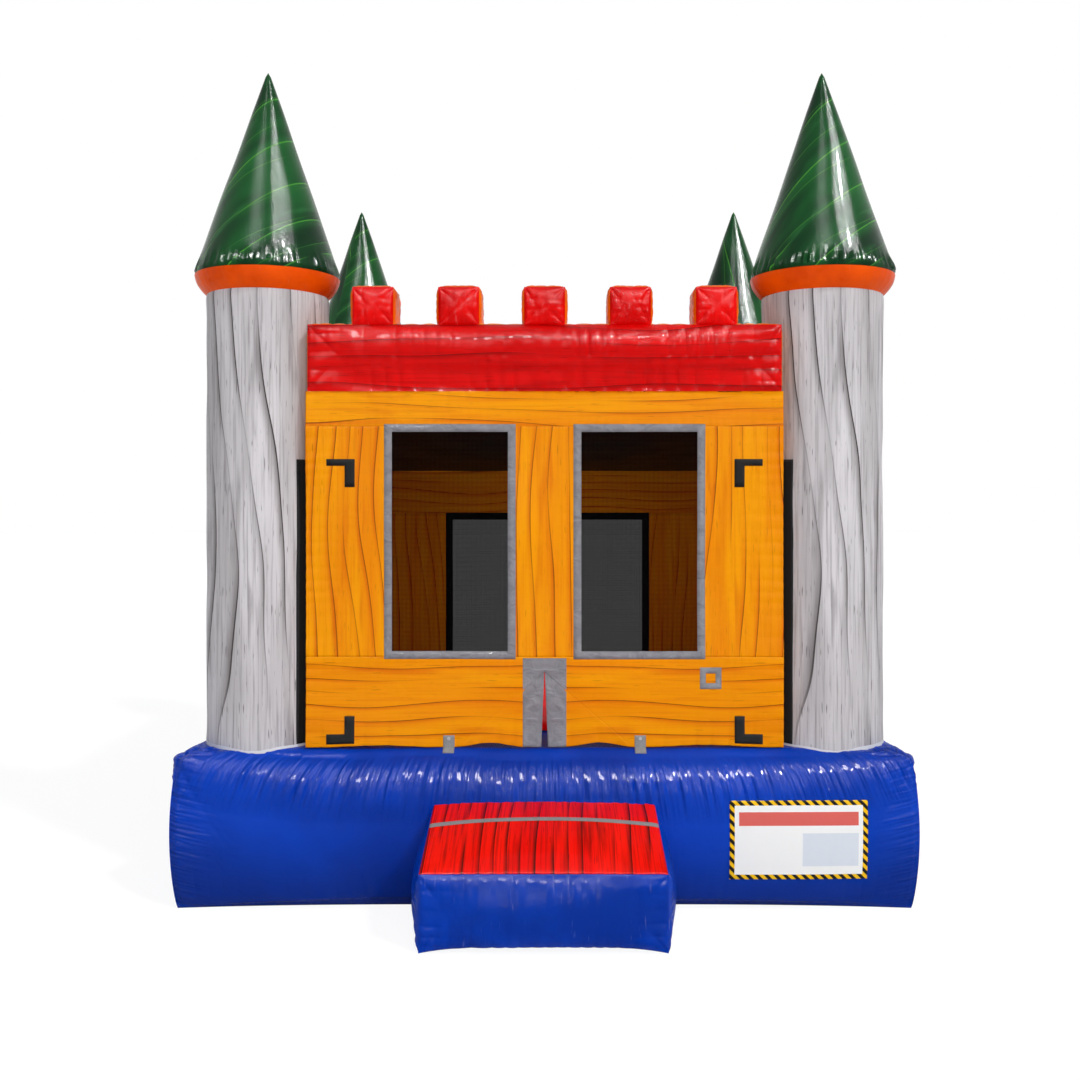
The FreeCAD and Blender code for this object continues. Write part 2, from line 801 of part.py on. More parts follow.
def make_inlet(base_outer, faces):
    """Inlet sleeve, its tie strap, and the check flap that hangs inside the base wall."""
    seam_end = base_side / 2 + wall_bulge + inlet_seam_reach
    mouth = base_side / 2 + wall_bulge + inlet_length
    start = base_side / 2 - 60
    r = inlet_bore_radius + skin
    along = V(0, 1, 0)
    tube = cylinder(r, mouth - start, V(inlet_x, start, inlet_z), along)
    tube = tube.cut(cylinder(inlet_seam_radius, mouth - start, V(inlet_x, start, inlet_z), along))
    bore = cylinder(inlet_bore_radius, mouth - seam_end, V(inlet_x, seam_end, inlet_z), along)
    sleeve = max(tube.cut(bore).cut(base_outer).Solids, key=lambda s: s.Volume)
    y = mouth - strap_ring_from_mouth
    centre = V(inlet_x, y, inlet_z)
    ring = cylinder(r + strap_ring_thickness, strap_ring_width, centre, V(0, 1, 0))
    ring = ring.cut(cylinder(r, strap_ring_width, centre, V(0, 1, 0)))
    block = box(
        inlet_x - 25, inlet_x + 25, y + 5, y + strap_ring_width - 5,
        inlet_z + r + strap_ring_thickness - 1, inlet_z + r + strap_ring_thickness + 8,
    )
    strap = ring.fuse(block.cut(cylinder(r, strap_ring_width, centre, V(0, 1, 0))))
    _, inner_faces = base_block(skin)
    lowest = wall_point(inner_faces["rear"], inlet_x, inlet_z - check_flap_radius, True)
    y_flap = lowest - seat_gap
    r = check_flap_radius
    hinge = V(inlet_x, y_flap - sheet / 2, inlet_z + r)
    flap = cylinder(r, sheet, V(inlet_x, y_flap, inlet_z), V(0, -1, 0))
    flap = flap.fuse(box(inlet_x - r, inlet_x + r, y_flap - sheet, y_flap, inlet_z, hinge.z))
    flap = flap.fuse(cylinder(sheet / 2, 2 * r, V(inlet_x - r, hinge.y, hinge.z), V(1, 0, 0)))
    return sleeve, strap.removeSplitter(), flap.removeSplitter(), hinge


def make_zip(base_outer, faces):
    """Zip tape with its chain, the slider, and the cover flap that hangs over them.

    The zip lies along a chord of the bulged rear wall, so its straight pieces are made square to
    the wall at the zip's middle and then turned onto that chord.
    """
    rear = faces["rear"]
    half_length, w, c = zip_length / 2, zip_tape_width / 2, zip_chain_width / 2
    ends = [wall_point(rear, zip_x + s * half_length, zip_z, True) for s in (-1, 1)]
    turn = math.degrees(math.atan2(ends[1] - ends[0], zip_length))
    y_wall = wall_point(rear, zip_x, zip_z, True)
    middle = V(zip_x, y_wall, zip_z)

    def laid(shape):
        shape.rotate(middle, V(0, 0, 1), turn)
        return shape

    x0, x1 = zip_x - half_length, zip_x + half_length
    span = box(x0, x1, 0, base_side, zip_z - w, zip_z + w)
    tape_sheet = on_wall(rear, span, V(0, 1, 0), tape)
    y_chain = y_wall + tape + zip_chain_thickness
    chain = laid(box(x0, x1, y_wall - 10, y_chain, zip_z - c, zip_z + c)).cut(base_outer)
    zip_tape = tape_sheet.fuse(chain).removeSplitter()

    y0 = y_wall + tape + slider_gap
    xs = x0 + 10
    z_low, z_high = zip_z - slider_width / 2, zip_z + slider_width / 2
    slider = box(xs, xs + slider_length, y0, y0 + slider_thickness, z_low, z_high)
    groove = box(
        xs - 1, xs + slider_length + 1, y0 - 1, y_chain + slider_gap,
        zip_z - c - slider_gap, zip_z + c + slider_gap,
    )
    x_pull = xs + slider_length / 2
    y_pull = y0 + slider_thickness
    pull = box(
        x_pull - pull_width / 2, x_pull + pull_width / 2, y_pull - 3, y_pull,
        z_low - pull_length, z_low,
    )
    slider = laid(slider.cut(groove).fuse(pull).removeSplitter())

    top = zip_z + w + 16
    y_seat = y_wall + seat_gap
    y_hang = y_seat + cover_standoff
    half = cover_length / 2
    hinge = V(zip_x, y_seat + sheet / 2, top - sheet / 2)
    welt = cylinder(sheet / 2, 2 * half, V(zip_x - half, hinge.y, hinge.z), V(1, 0, 0))
    ledge = box(zip_x - half, zip_x + half, hinge.y, y_hang, top - sheet, top)
    hang = box(zip_x - half, zip_x + half, y_hang - sheet, y_hang, top - cover_drop, top)
    cover = laid(welt.fuse(ledge).fuse(hang).removeSplitter())
    return zip_tape, slider, cover, (hinge, turn)


def make_anchor(faces):
    """One ground anchor on the right-hand wall: patch, webbing loop and D ring."""
    right = faces["right"]
    p = anchor_patch / 2
    span = box(0, base_side, anchor_y - p, anchor_y + p, anchor_z - p, anchor_z + p)
    patch = on_wall(right, span, V(1, 0, 0), sheet)
    x_wall = wall_point(right, anchor_y, anchor_z, False) + sheet
    x_bar = x_wall + ring_standoff
    r = ring_wire_radius
    reach = ring_inner_width / 2 + r
    bar = cylinder(r, 2 * reach, V(0, -reach, 0), V(0, 1, 0))
    bend = ring_inner_width / 2 + r
    straight = ring_inner_drop - ring_inner_width / 2
    arc_z = -r - straight
    ring_arc = Part.makeTorus(bend, r, V(0, 0, arc_z), V(1, 0, 0), 0, 360, 360)
    arc_reach = bend + 2 * r
    upper = box(-arc_reach, arc_reach, -arc_reach, arc_reach, arc_z, arc_z + arc_reach)
    ring = bar.fuse(ring_arc.cut(upper))
    for side in (-1, 1):
        leg = cylinder(r, straight + r, V(0, side * bend, arc_z))
        ball = Part.makeSphere(r, V(0, side * bend, 0))
        ring = ring.fuse(leg).fuse(ball)
    ring = ring.removeSplitter()
    ring.translate(V(x_bar, anchor_y, anchor_z))
    eye = r + seat_gap
    lug = eye + loop_wall
    y0 = anchor_y - loop_width / 2
    loop = cylinder(lug, loop_width, V(x_bar, y0, anchor_z), V(0, 1, 0))
    strip = box(x_bar, x_wall - 20, y0, y0 + loop_width, anchor_z - lug, anchor_z + lug)
    loop = loop.fuse(strip).cut(cylinder(eye, loop_width, V(x_bar, y0, anchor_z), V(0, 1, 0)))
    stitched = box(x_wall - 20, x_wall + 3, y0, y0 + loop_width, anchor_z - lug, anchor_z + 60)
    behind = on_wall(right, span, V(-1, 0, 0), 60)
    loop = loop.fuse(stitched).cut(patch).cut(behind).removeSplitter()
    return patch, max(loop.Solids, key=lambda s: s.Volume), ring, x_bar


def all_corners(shape):
    """A right-hand rear piece repeated at the four anchor places, by name."""
    front = shape.mirror(V(0, 0, 0), V(0, 1, 0))
    return {
        "rear_right": shape,
        "front_right": front,
        "rear_left": shape.mirror(V(0, 0, 0), V(1, 0, 0)),
        "front_left": front.mirror(V(0, 0, 0), V(1, 0, 0)),
    }


def build():
    """Every sub-part by its node name."""
    parts = {}
    base, base_outer, faces = make_base()
    parts["base_cushion"] = base
    parts["base_baffles"] = make_baffles()
    parts["bounce_floor"] = make_bounce_floor()

    collar, spire = make_collar(), make_spire()
    for name, column in finish_columns(make_column()).items():
        x, y = column_places()[name]
        parts["column_" + name] = column
        for kind, shape in (("collar_", collar), ("spire_", spire)):
            copy = shape.copy()
            copy.translate(V(x, y, 0))
            parts[kind + name] = copy

    merlons, _ = make_merlons()
    parts["beam_front"] = make_beam(
        front_beam_outer(), front_beam_half, merlon_places()
    )
    parts["merlons"] = merlons
    ring_beam = make_beam(ring_beam_outer(), column_spacing / 2)
    panels, net_sheet, border = wall_set()
    for side, angle in (("rear", 0), ("left", 90), ("right", -90)):
        parts["beam_" + side] = turned(ring_beam, angle)
        parts[side + "_wall_panels"] = turned(panels, angle)
        parts[side + "_wall_net"] = turned(net_sheet, angle)
    parts["wall_borders"] = Part.makeCompound([turned(border, a) for a in (0, 90, -90)])

    parts.update(make_front_sheet())
    parts.update(make_doorway())
    parts["hook_corners"], parts["hook_strips"] = make_hook_pieces()
    parts["hold_down_tabs"], parts["tab_snaps"] = make_tabs()
    parts["roof_cover"] = make_roof()

    parts["entry_step"], parts["step_top"], parts["step_strap"] = make_step(base_outer)
    parts["info_board"] = make_board(faces)
    parts["inlet_sleeve"], parts["sleeve_strap"], parts["inlet_check_flap"], flap_hinge = make_inlet(
        base_outer, faces
    )
    parts["zip_tape"], parts["zip_slider"], parts["zip_cover"], zip_hinge = make_zip(
        base_outer, faces
    )
    patch, loop, ring, x_bar = make_anchor(faces)
    parts["anchor_patches"] = Part.makeCompound(list(all_corners(patch).values()))
    parts["anchor_loops"] = Part.makeCompound(list(all_corners(loop).values()))
    for name, copy in all_corners(ring).items():
        parts["d_ring_" + name] = copy

    print("Inlet flap hinge:", flap_hinge)
    print("Zip cover hinge and turn of the zip in degrees:", zip_hinge)
    print("Ring bar at x:", round(x_bar, 3))
    return parts


def main():
    os.makedirs(OUT, exist_ok=True)
    for name, shape in build().items():
        shape.exportStep(os.path.join(OUT, name + ".step"))


main()
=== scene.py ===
# %% [markdown]
# # Inflatable castle bounce house
# The object is a blue air cushion with four grey columns, green spires, a red battlement beam and
# yellow sheets with net windows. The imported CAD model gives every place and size. This file
# dresses it: each soft piece is a surface worked out with numpy, because coated fabric under
# pressure is smooth between its seams and gathered at them, and both are easy to say in formulas.

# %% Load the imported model
import math

import bpy
import bmesh
import numpy as np
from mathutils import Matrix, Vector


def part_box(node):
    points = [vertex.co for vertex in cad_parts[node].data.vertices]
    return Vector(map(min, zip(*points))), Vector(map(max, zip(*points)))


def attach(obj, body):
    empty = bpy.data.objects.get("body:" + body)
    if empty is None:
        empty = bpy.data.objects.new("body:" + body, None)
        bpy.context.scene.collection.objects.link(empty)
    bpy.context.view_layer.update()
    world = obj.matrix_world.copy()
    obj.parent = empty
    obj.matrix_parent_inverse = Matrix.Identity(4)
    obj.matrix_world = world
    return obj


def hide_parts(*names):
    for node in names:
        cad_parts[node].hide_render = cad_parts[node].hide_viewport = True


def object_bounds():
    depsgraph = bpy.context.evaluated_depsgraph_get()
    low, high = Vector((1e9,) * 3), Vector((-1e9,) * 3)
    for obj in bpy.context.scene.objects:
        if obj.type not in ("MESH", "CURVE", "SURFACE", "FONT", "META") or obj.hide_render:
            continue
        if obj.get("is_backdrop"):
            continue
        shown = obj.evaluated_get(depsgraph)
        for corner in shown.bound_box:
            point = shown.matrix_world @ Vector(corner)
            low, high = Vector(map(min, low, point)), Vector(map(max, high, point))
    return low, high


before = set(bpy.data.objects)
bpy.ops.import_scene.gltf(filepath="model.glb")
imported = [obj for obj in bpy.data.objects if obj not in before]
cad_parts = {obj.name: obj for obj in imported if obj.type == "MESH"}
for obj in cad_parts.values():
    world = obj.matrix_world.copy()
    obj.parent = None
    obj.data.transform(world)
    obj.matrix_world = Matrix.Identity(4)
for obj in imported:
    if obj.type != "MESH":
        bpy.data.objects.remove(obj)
cad_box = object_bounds()
print("CAD box:", [list(c) for c in cad_box])

# %% [markdown]
# ## Camera
# The photograph was taken from in front and a little above the deck, with a level camera. A level
# camera keeps columns upright, and a small shift slides the picture without tilting them. The
# lens was found from how fast the rear spires shrink behind the front ones.

# %% Level camera with a small shift
sensor_mm, focal_pixels, picture_pixels = 36.0, 1132.0, 1080.0
lens = bpy.data.cameras.new("camera")
lens.lens = sensor_mm * focal_pixels / picture_pixels
lens.shift_x = -0.012
lens.shift_y = -0.0400
eye = bpy.data.objects.new("camera", lens)
eye.location = (0.046, -8.095, 2.221)
eye.rotation_euler = (math.radians(90), 0, 0)
bpy.context.scene.collection.objects.link(eye)
bpy.context.scene.camera = eye
print("Lens in mm:", round(lens.lens, 2))

# %% [markdown]
# ## Light
# The photograph has a bright key from high on the right and plenty of fill. The narrow highlights
# on the cones give its direction. A pale world and a wide box in front fill the shade, and two
# lamps that only glossy rays see give the coated cloth its small sparks. The world shows pure
# white to the camera and to reflections through Light Path, and lights matt cloth at a lower level.

# %% World, sun and two soft boxes
view = bpy.context.scene.view_settings
view.view_transform = "Standard"

world = bpy.data.worlds.new("studio")
world.use_nodes = True
bpy.context.scene.world = world
sky = world.node_tree
sky.nodes.clear()
sky_out = sky.nodes.new("ShaderNodeOutputWorld")
sky_mix = sky.nodes.new("ShaderNodeMixShader")
sky_fill = sky.nodes.new("ShaderNodeBackground")
sky_seen = sky.nodes.new("ShaderNodeBackground")
sky_path = sky.nodes.new("ShaderNodeLightPath")
sky_fill.inputs[0].default_value = (0.93, 0.96, 1.0, 1)
sky_fill.inputs[1].default_value = 0.44
sky_seen.inputs[0].default_value = (1, 1, 1, 1)
sky_sum = sky.nodes.new("ShaderNodeMath")
sky_sum.use_clamp = True
sky.links.new(sky_path.outputs["Is Camera Ray"], sky_sum.inputs[0])
sky.links.new(sky_path.outputs["Is Glossy Ray"], sky_sum.inputs[1])
sky.links.new(sky_sum.outputs[0], sky_mix.inputs[0])
sky.links.new(sky_fill.outputs[0], sky_mix.inputs[1])
sky.links.new(sky_seen.outputs[0], sky_mix.inputs[2])
sky.links.new(sky_mix.outputs[0], sky_out.inputs[0])


def lamp(name, kind, place, target, energy, size, diffuse=True, glossy=True):
    """A lamp at place that looks at target. A lamp may light only matt or only glossy rays."""
    data = bpy.data.lights.new(name, kind)
    data.energy = energy
    if kind == "SUN":
        data.angle = size
    else:
        data.shape = "RECTANGLE"
        data.size, data.size_y = size
    obj = bpy.data.objects.new(name, data)
    obj.location = place
    look = np.array(target, float) - np.array(place, float)
    yaw = math.atan2(look[1], look[0]) - math.pi / 2
    pitch = math.atan2(look[2], math.hypot(look[0], look[1])) + math.pi / 2
    obj.rotation_euler = (pitch, 0, yaw)
    obj.visible_diffuse = diffuse
    obj.visible_glossy = glossy
    bpy.context.scene.collection.objects.link(obj)
    return obj


lamp("sun", "SUN", (6.8, -6.2, 9.4), (0, 0, 0), 1.26, math.radians(4))
lamp("front_box", "AREA", (1.0, -11, 4.0), (0, 0, 2), 285, (5.0, 4.0), glossy=False)
lamp("inside_fill", "AREA", (0, -0.6, 2.3), (0, 0.6, 1.2), 33, (1.6, 1.0), glossy=False)
lamp("sheen_sun", "SUN", (6.8, -6.2, 9.4), (0, 0, 0), 10.0, math.radians(4), diffuse=False)
lamp("sheen_left", "SUN", (-2.0, -8.0, 7.0), (0, 0, 0), 6.0, math.radians(13), diffuse=False)

# %% [markdown]
# ## Floor
# A pale floor catches the shadow. To the camera it has to melt into the white background, so it
# is a mix: mostly white light for the camera's rays, and a plain matt floor for every other ray.

# %% Pale floor
ground = bpy.data.meshes.new("floor")
ground.from_pydata([(-60, -60, 0), (60, -60, 0), (60, 60, 0), (-60, 60, 0)], [], [(0, 1, 2, 3)])
floor = bpy.data.objects.new("floor", ground)
floor.location.z = -0.002
bpy.context.scene.collection.objects.link(floor)
floor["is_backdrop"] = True
floor_mat = bpy.data.materials.new("floor")
floor_mat.use_nodes = True
fn = floor_mat.node_tree
fn.nodes.clear()
f_out = fn.nodes.new("ShaderNodeOutputMaterial")
f_mix = fn.nodes.new("ShaderNodeMixShader")
f_glow = fn.nodes.new("ShaderNodeEmission")
f_matt = fn.nodes.new("ShaderNodeBsdfDiffuse")
f_path = fn.nodes.new("ShaderNodeLightPath")
f_part = fn.nodes.new("ShaderNodeMath")
f_part.operation = "MULTIPLY"
f_part.inputs[1].default_value = 0.80
f_matt.inputs[0].default_value = (0.86, 0.86, 0.87, 1)
f_glow.inputs[0].default_value = (1, 1, 1, 1)
f_glow.inputs[1].default_value = 1.12
fn.links.new(f_path.outputs["Is Camera Ray"], f_part.inputs[0])
fn.links.new(f_part.outputs[0], f_mix.inputs[0])
fn.links.new(f_matt.outputs[0], f_mix.inputs[1])
fn.links.new(f_glow.outputs[0], f_mix.inputs[2])
fn.links.new(f_mix.outputs[0], f_out.inputs[0])
ground.materials.append(floor_mat)

# %% [markdown]
# ## Shader sums written as Python
# A pattern is a sum of waves and noises. Writing it as an expression keeps it readable, so one
# small class wraps a socket and turns each + or * into a Math node.


# %% A wire that can be added and multiplied
class Wire:
    """A socket in a finish that takes part in sums: each operation adds one Math node."""

    def __init__(self, finish, socket):
        self.finish = finish
        self.socket = socket

    def math(self, operation, *others):
        pairs = list(enumerate([self, *others]))
        return self.finish.node("ShaderNodeMath", {"operation": operation}, *pairs)

    def back(self, operation, first):
        return self.finish.node("ShaderNodeMath", {"operation": operation}, (0, first), (1, self))

    def __add__(self, other):
        return self.math("ADD", other)

    def __sub__(self, other):
        return self.math("SUBTRACT", other)

    def __mul__(self, other):
        return self.math("MULTIPLY", other)

    def __radd__(self, first):
        return self.back("ADD", first)

    def __rsub__(self, first):
        return self.back("SUBTRACT", first)

    def __rmul__(self, first):
        return self.back("MULTIPLY", first)

    def above(self, low, high):
        """0 below low, 1 above high, and a smooth step between."""
        return self.finish.node(
            "ShaderNodeMapRange", {"interpolation_type": "SMOOTHSTEP"}, (0, self), (1, low), (2, high)
        )


# %% [markdown]
# ## Finishes
# Each finish is a Principled shader with a few patterns. The patterns run on the piece's own UV
# map, which every surface below carries in metres, so a print keeps its true size and follows
# the cloth round a column.


# %% A finish and its helpers
class Finish:
    """A material: nodes come from node(), and paint() joins them to the shader."""

    def __init__(self, name, roughness=0.4, coat=0.0, specular=0.06):
        self.mat = bpy.data.materials.new(name)
        self.mat.use_nodes = True
        self.tree = self.mat.node_tree
        self.skin = self.tree.nodes["Principled BSDF"]
        self.skin.inputs["Roughness"].default_value = roughness
        self.skin.inputs["Coat Weight"].default_value = coat
        self.skin.inputs["Coat Roughness"].default_value = 0.07
        self.skin.inputs["Specular IOR Level"].default_value = specular
        self.place = None

    def node(self, kind, settings=None, *pairs, out=0):
        made = self.tree.nodes.new(kind)
        for key, value in (settings or {}).items():
            setattr(made, key, value)
        for where, value in pairs:
            if isinstance(value, Wire):
                self.tree.links.new(value.socket, made.inputs[where])
            else:
                made.inputs[where].default_value = value
        return Wire(self, made.outputs[out])

    def uv(self):
        """The two surface coordinates in metres."""
        if self.place is None:
            raw = self.node("ShaderNodeUVMap", {"uv_map": "UVMap"})
            parts = self.node("ShaderNodeSeparateXYZ", None, (0, raw))
            self.place = parts, Wire(self, parts.socket.node.outputs[1])
        return self.place

    def spot(self, u, v, w=0.0):
        return self.node("ShaderNodeCombineXYZ", None, (0, u), (1, v), (2, w))

    def noise(self, u, v, w=0.0, detail=2.0, rough=0.5, twist=0.0):
        """Soft noise from 0 to 1 whose grain is one unit of u and v."""
        return self.node(
            "ShaderNodeTexNoise", None, ("Vector", self.spot(u, v, w)), ("Scale", 1.0),
            ("Detail", detail), ("Roughness", rough), ("Distortion", twist),
        )

    def blend(self, share, first, second):
        """Colour that goes from first to second as share goes from 0 to 1."""
        return self.node(
            "ShaderNodeMix", {"data_type": "RGBA"}, (0, share), (6, first), (7, second), out=2
        )

    def paint(self, name, wire):
        self.tree.links.new(wire.socket, self.skin.inputs[name])

    def bump(self, height, depth):
        """Relief of depth metres from a height between 0 and 1."""
        relief = self.node(
            "ShaderNodeBump", None, ("Height", height), ("Distance", depth), ("Strength", 1.0)
        )
        self.paint("Normal", relief)


def srgb(r, g, b):
    """Linear colour from 0 to 255 screen values."""
    c = np.array([r, g, b]) / 255.0
    lin = np.where(c <= 0.04045, c / 12.92, ((c + 0.055) / 1.055) ** 2.4)
    return (*[float(x) for x in lin], 1.0)


# %% [markdown]
# ### Plain coated fabric
# Vinyl-coated cloth shows three things: soft blotches where it has been folded and handled, a
# faint weave under the coat, and thin scuffs. The gloss varies with the blotches, so highlights
# break up as they do on the real skin.


# %% Plain vinyl
def weave(f, u, v, pitch=0.0022):
    """Woven backing that shows through the coat: the product of two fine waves."""
    across = (u * (math.tau / pitch)).math("SINE")
    along = (v * (math.tau / pitch)).math("SINE")
    return across * along * 0.5 + 0.5


def vinyl(name, deep, bright, roughness=0.34, coat=0.25, scuff=0.25):
    f = Finish(name, roughness, coat)
    u, v = f.uv()
    cloud = f.noise(u * 2.3, v * 2.3, 0.3, detail=4.0, rough=0.6)
    folds = f.noise(u * 9.0, v * 9.0, 4.1, detail=3.0, rough=0.6, twist=0.8)
    scratch = f.noise(u * 60.0, v * 7.0, 1.7, detail=2.0).above(0.66, 0.78)
    body = f.blend(cloud.above(0.3, 0.7), deep, bright)
    faded = (*[c * 0.7 + 0.18 for c in bright[:3]], 1)
    worn = f.blend(scratch * scuff, body, faded)
    f.paint("Base Color", worn)
    f.paint("Roughness", cloud * 0.12 + (roughness - 0.08) + scratch * 0.15)
    f.bump(folds * 0.8 + weave(f, u, v) * 0.06, 0.005)
    return f.mat


blue = vinyl("blue_vinyl", srgb(0, 46, 146), srgb(0, 60, 178), 0.24, 0.04)
red = vinyl("red_vinyl", srgb(200, 1, 1), srgb(232, 6, 4), 0.24, 0.04)
orange = vinyl("orange_vinyl", srgb(226, 84, 2), srgb(250, 112, 4), 0.26, 0.03)
amber = vinyl("amber_vinyl", srgb(236, 120, 6), srgb(250, 148, 18), 0.28, 0.03)
collar_orange = vinyl("collar_vinyl", srgb(216, 66, 0), srgb(246, 88, 2), 0.30, 0.03)
black = vinyl("black_vinyl", srgb(9, 9, 9), srgb(18, 17, 16), 0.45, 0.0, 0.05)
print("Plain finishes: 6")

# %% [markdown]
# ### Printed wood grain
# The columns and the yellow sheets are printed with wood grain, a common pattern. Grain is fine
# streaks drawn out along the board, plus a few dark lines that wander. A wandering line is where
# a slowly warped coordinate passes through a whole number.


# %% Wood print
def grain(f, across, along, pitch, wander, width, seed, broken=1.5):
    """Drawn grain: 1 on a line about every pitch, and a soft shade that grows up to each line.
    The coordinate across is bent by slow noise, cut into unit lanes, and each lane ends in a line
    that fades in and out as it runs."""
    drift = f.noise(across * (0.22 / pitch), along * 0.75, seed, detail=0.6, rough=0.4) * wander
    lane = across * (1.0 / pitch) + drift
    share = lane.math("FRACT")
    run = f.noise(lane.math("FLOOR") * 7.3, along * broken, seed + 4.0, detail=1.0)
    strength = run.above(0.34, 0.56)
    edge = share.above(1.0 - width, 1.0 - width * 0.45)
    shade = share.above(0.55, 1.0)
    return edge * strength, shade * shade * strength


def wood(name, pale, mid, dark, line, roughness=0.42, coat=0.02, level=False, pitch=0.11,
         amount=0.8, shade=0.5, width=0.05, streaks=0.35, flecks=0.30, broken=1.5,
         specular=0.06, fold=0.004):
    """Printed boards. The grain runs along v, or along u on a level piece."""
    f = Finish(name, roughness, coat, specular)
    u, v = f.uv()
    x, y = (v, u) if level else (u, v)
    board = f.noise(x * 6.0, y * 0.6, 2.0, detail=2.0, rough=0.55)
    streak = f.noise(x * 70.0, y * 1.8, 5.0, detail=3.0, rough=0.6)
    fleck = f.noise(x * 120.0, y * 9.0, 8.0, detail=1.0).above(0.66, 0.76)
    tone = f.blend(board.above(0.36, 0.64), mid, pale)
    tone = f.blend(streak.above(0.45, 0.75) * streaks, tone, dark)
    lines, shades = grain(f, x, y, pitch, 2.8, width, 3.0, broken)
    smudge = f.noise(x * 14.0, y * 1.6, 11.0, detail=2.0, rough=0.5).above(0.56, 0.74)
    tone = f.blend(smudge * shade * 0.55, tone, dark)
    tone = f.blend(shades * shade, tone, dark)
    tone = f.blend(lines * amount, tone, line)
    tone = f.blend(fleck * flecks, tone, line)
    f.paint("Base Color", tone)
    f.paint("Roughness", streak * 0.12 + (roughness - 0.06))
    folds = f.noise(u * 7.0, v * 7.0, 9.0, detail=3.0, rough=0.55, twist=0.6)
    f.bump(folds * 0.8 + weave(f, u, v) * 0.06, fold)
    return f.mat


grey_wood = wood(
    "column_wood", srgb(212, 208, 210), srgb(186, 182, 183), srgb(118, 112, 112), srgb(58, 53, 52),
    pitch=0.16, amount=0.95, shade=0.90, width=0.062, streaks=0.62, flecks=0.65, broken=0.7,
)
yellows = srgb(243, 156, 1), srgb(236, 138, 1), srgb(214, 92, 2), srgb(112, 48, 6)
sheet_print = dict(amount=0.85, shade=0.8, width=0.065, broken=1.0, specular=0.025, fold=0.006)
yellow_tall = wood("yellow_wood_upright", *yellows, pitch=0.085, **sheet_print)
yellow_level = wood("yellow_wood_level", *yellows, level=True, pitch=0.080, **sheet_print)
red_wood = wood(
    "beam_red", srgb(224, 10, 8), srgb(206, 2, 2), srgb(150, 2, 2), srgb(72, 2, 2),
    roughness=0.24, coat=0.07, level=True, pitch=0.085, amount=0.8, shade=0.7, width=0.045, broken=1.0,
)
step_red = wood(
    "step_red", srgb(252, 24, 10), srgb(238, 10, 4), srgb(104, 12, 6), srgb(60, 8, 4),
    roughness=0.22, coat=0.08, pitch=0.075, amount=0.9, shade=1.0, width=0.085, streaks=0.6, flecks=0.4,
)
print("Wood prints: 5")

# %% [markdown]
# ### Marbled green
# The spires are printed with a soft marble. Two clouds of green mix, and thin bright veins climb
# from lower left to upper right. The veins are the same wandering lines as in the wood, turned.


# %% Marble print
def marble(name):
    """u and v are the cone laid flat, so slanting straight bands climb round it as arcs."""
    f = Finish(name, 0.14, 0.07)
    u, v = f.uv()
    across, along = v * 0.62 - u * 0.785, u * 0.62 + v * 0.785
    cloud = f.noise(across * 3.4, along * 1.1, 1.0, detail=2.0, rough=0.5, twist=0.4)
    haze = f.noise(across * 8.0, along * 2.0, 7.0, detail=2.0, rough=0.5, twist=0.5)
    tone = f.blend(cloud.above(0.36, 0.66), srgb(10, 48, 24), srgb(24, 88, 40))
    tone = f.blend(haze.above(0.55, 0.8) * 0.5, tone, srgb(48, 118, 60))
    for pitch, bend, seed, strong in ((0.24, 1.3, 2.0, 0.75), (0.17, 2.0, 9.0, 0.30)):
        veins, glow = grain(f, across, along, pitch, bend, 0.042, seed, 2.2)
        tone = f.blend(glow * strong * 0.6, tone, srgb(34, 104, 44))
        tone = f.blend(veins * strong, tone, srgb(78, 160, 54))
    f.paint("Base Color", tone)
    f.paint("Roughness", cloud * 0.08 + 0.12)
    folds = f.noise(u * 8.0, v * 5.0, 9.0, detail=3.0, rough=0.55, twist=0.6)
    f.bump(folds * 0.5 + weave(f, u, v) * 0.04, 0.003)
    return f.mat


green = marble("spire_green")

# %% [markdown]
# ### Net, tape, webbing and hook-and-loop
# Net is cloth with holes, so its pattern drives Alpha: two sets of strands cross, and a point is
# denser where either set passes. The strands' own fuzz is finer than that and darkens the holes.
# Tape is wrinkled by its stitching, webbing has ribs, and hook tape is a black field of tiny
# tufts.


# %% Net
def netting(name, colour, pitch=0.007, strand=0.42):
    f = Finish(name, 0.7, 0.0, 0.0)
    u, v = f.uv()
    cross = []
    for w in (u, v):
        cell = (w * (1.0 / pitch)).math("FRACT")
        cross.append((cell - 0.5).math("ABSOLUTE").math("LESS_THAN", strand / 2))
    solid = cross[0].math("MAXIMUM", cross[1])
    f.skin.inputs["Base Color"].default_value = colour
    f.paint("Alpha", solid * 0.28 + 0.62)
    f.bump(solid, 0.0006)
    return f.mat


net_black = netting("black_net", srgb(5, 5, 5))


# %% Tape, webbing and tufts
def wrinkled_tape(name, tone, deep):
    f = Finish(name, 0.5, 0.1)
    u, v = f.uv()
    slant = f.noise(u * 11.0, v * 17.0, 2.0, detail=2.5, rough=0.5, twist=1.0)
    soft = f.noise(u * 14.0, v * 14.0, 5.0, detail=2.0)
    # Painted shade: the colour follows the same noise as the wrinkle relief, so the hollows are darker; the
    # soft noise adds random tone.
    f.paint("Base Color", f.blend(slant.above(0.3, 0.7) * 0.35 + soft * 0.3 + 0.3, deep, tone))
    f.bump(slant * 0.9 + weave(f, u, v) * 0.03, 0.026)
    return f.mat


def webbing(name, tone, deep, pitch=0.003):
    f = Finish(name, 0.75, 0.0, 0.3)
    u, v = f.uv()
    ribs = (u * (math.tau / pitch)).math("SINE") * (v * (math.tau / pitch)).math("SINE") * 0.5 + 0.5
    dust = f.noise(u * 25.0, v * 25.0, 1.0, detail=3.0)
    f.paint("Base Color", f.blend(ribs * 0.6 + dust * 0.4, deep, tone))
    f.bump(ribs, 0.0008)
    return f.mat


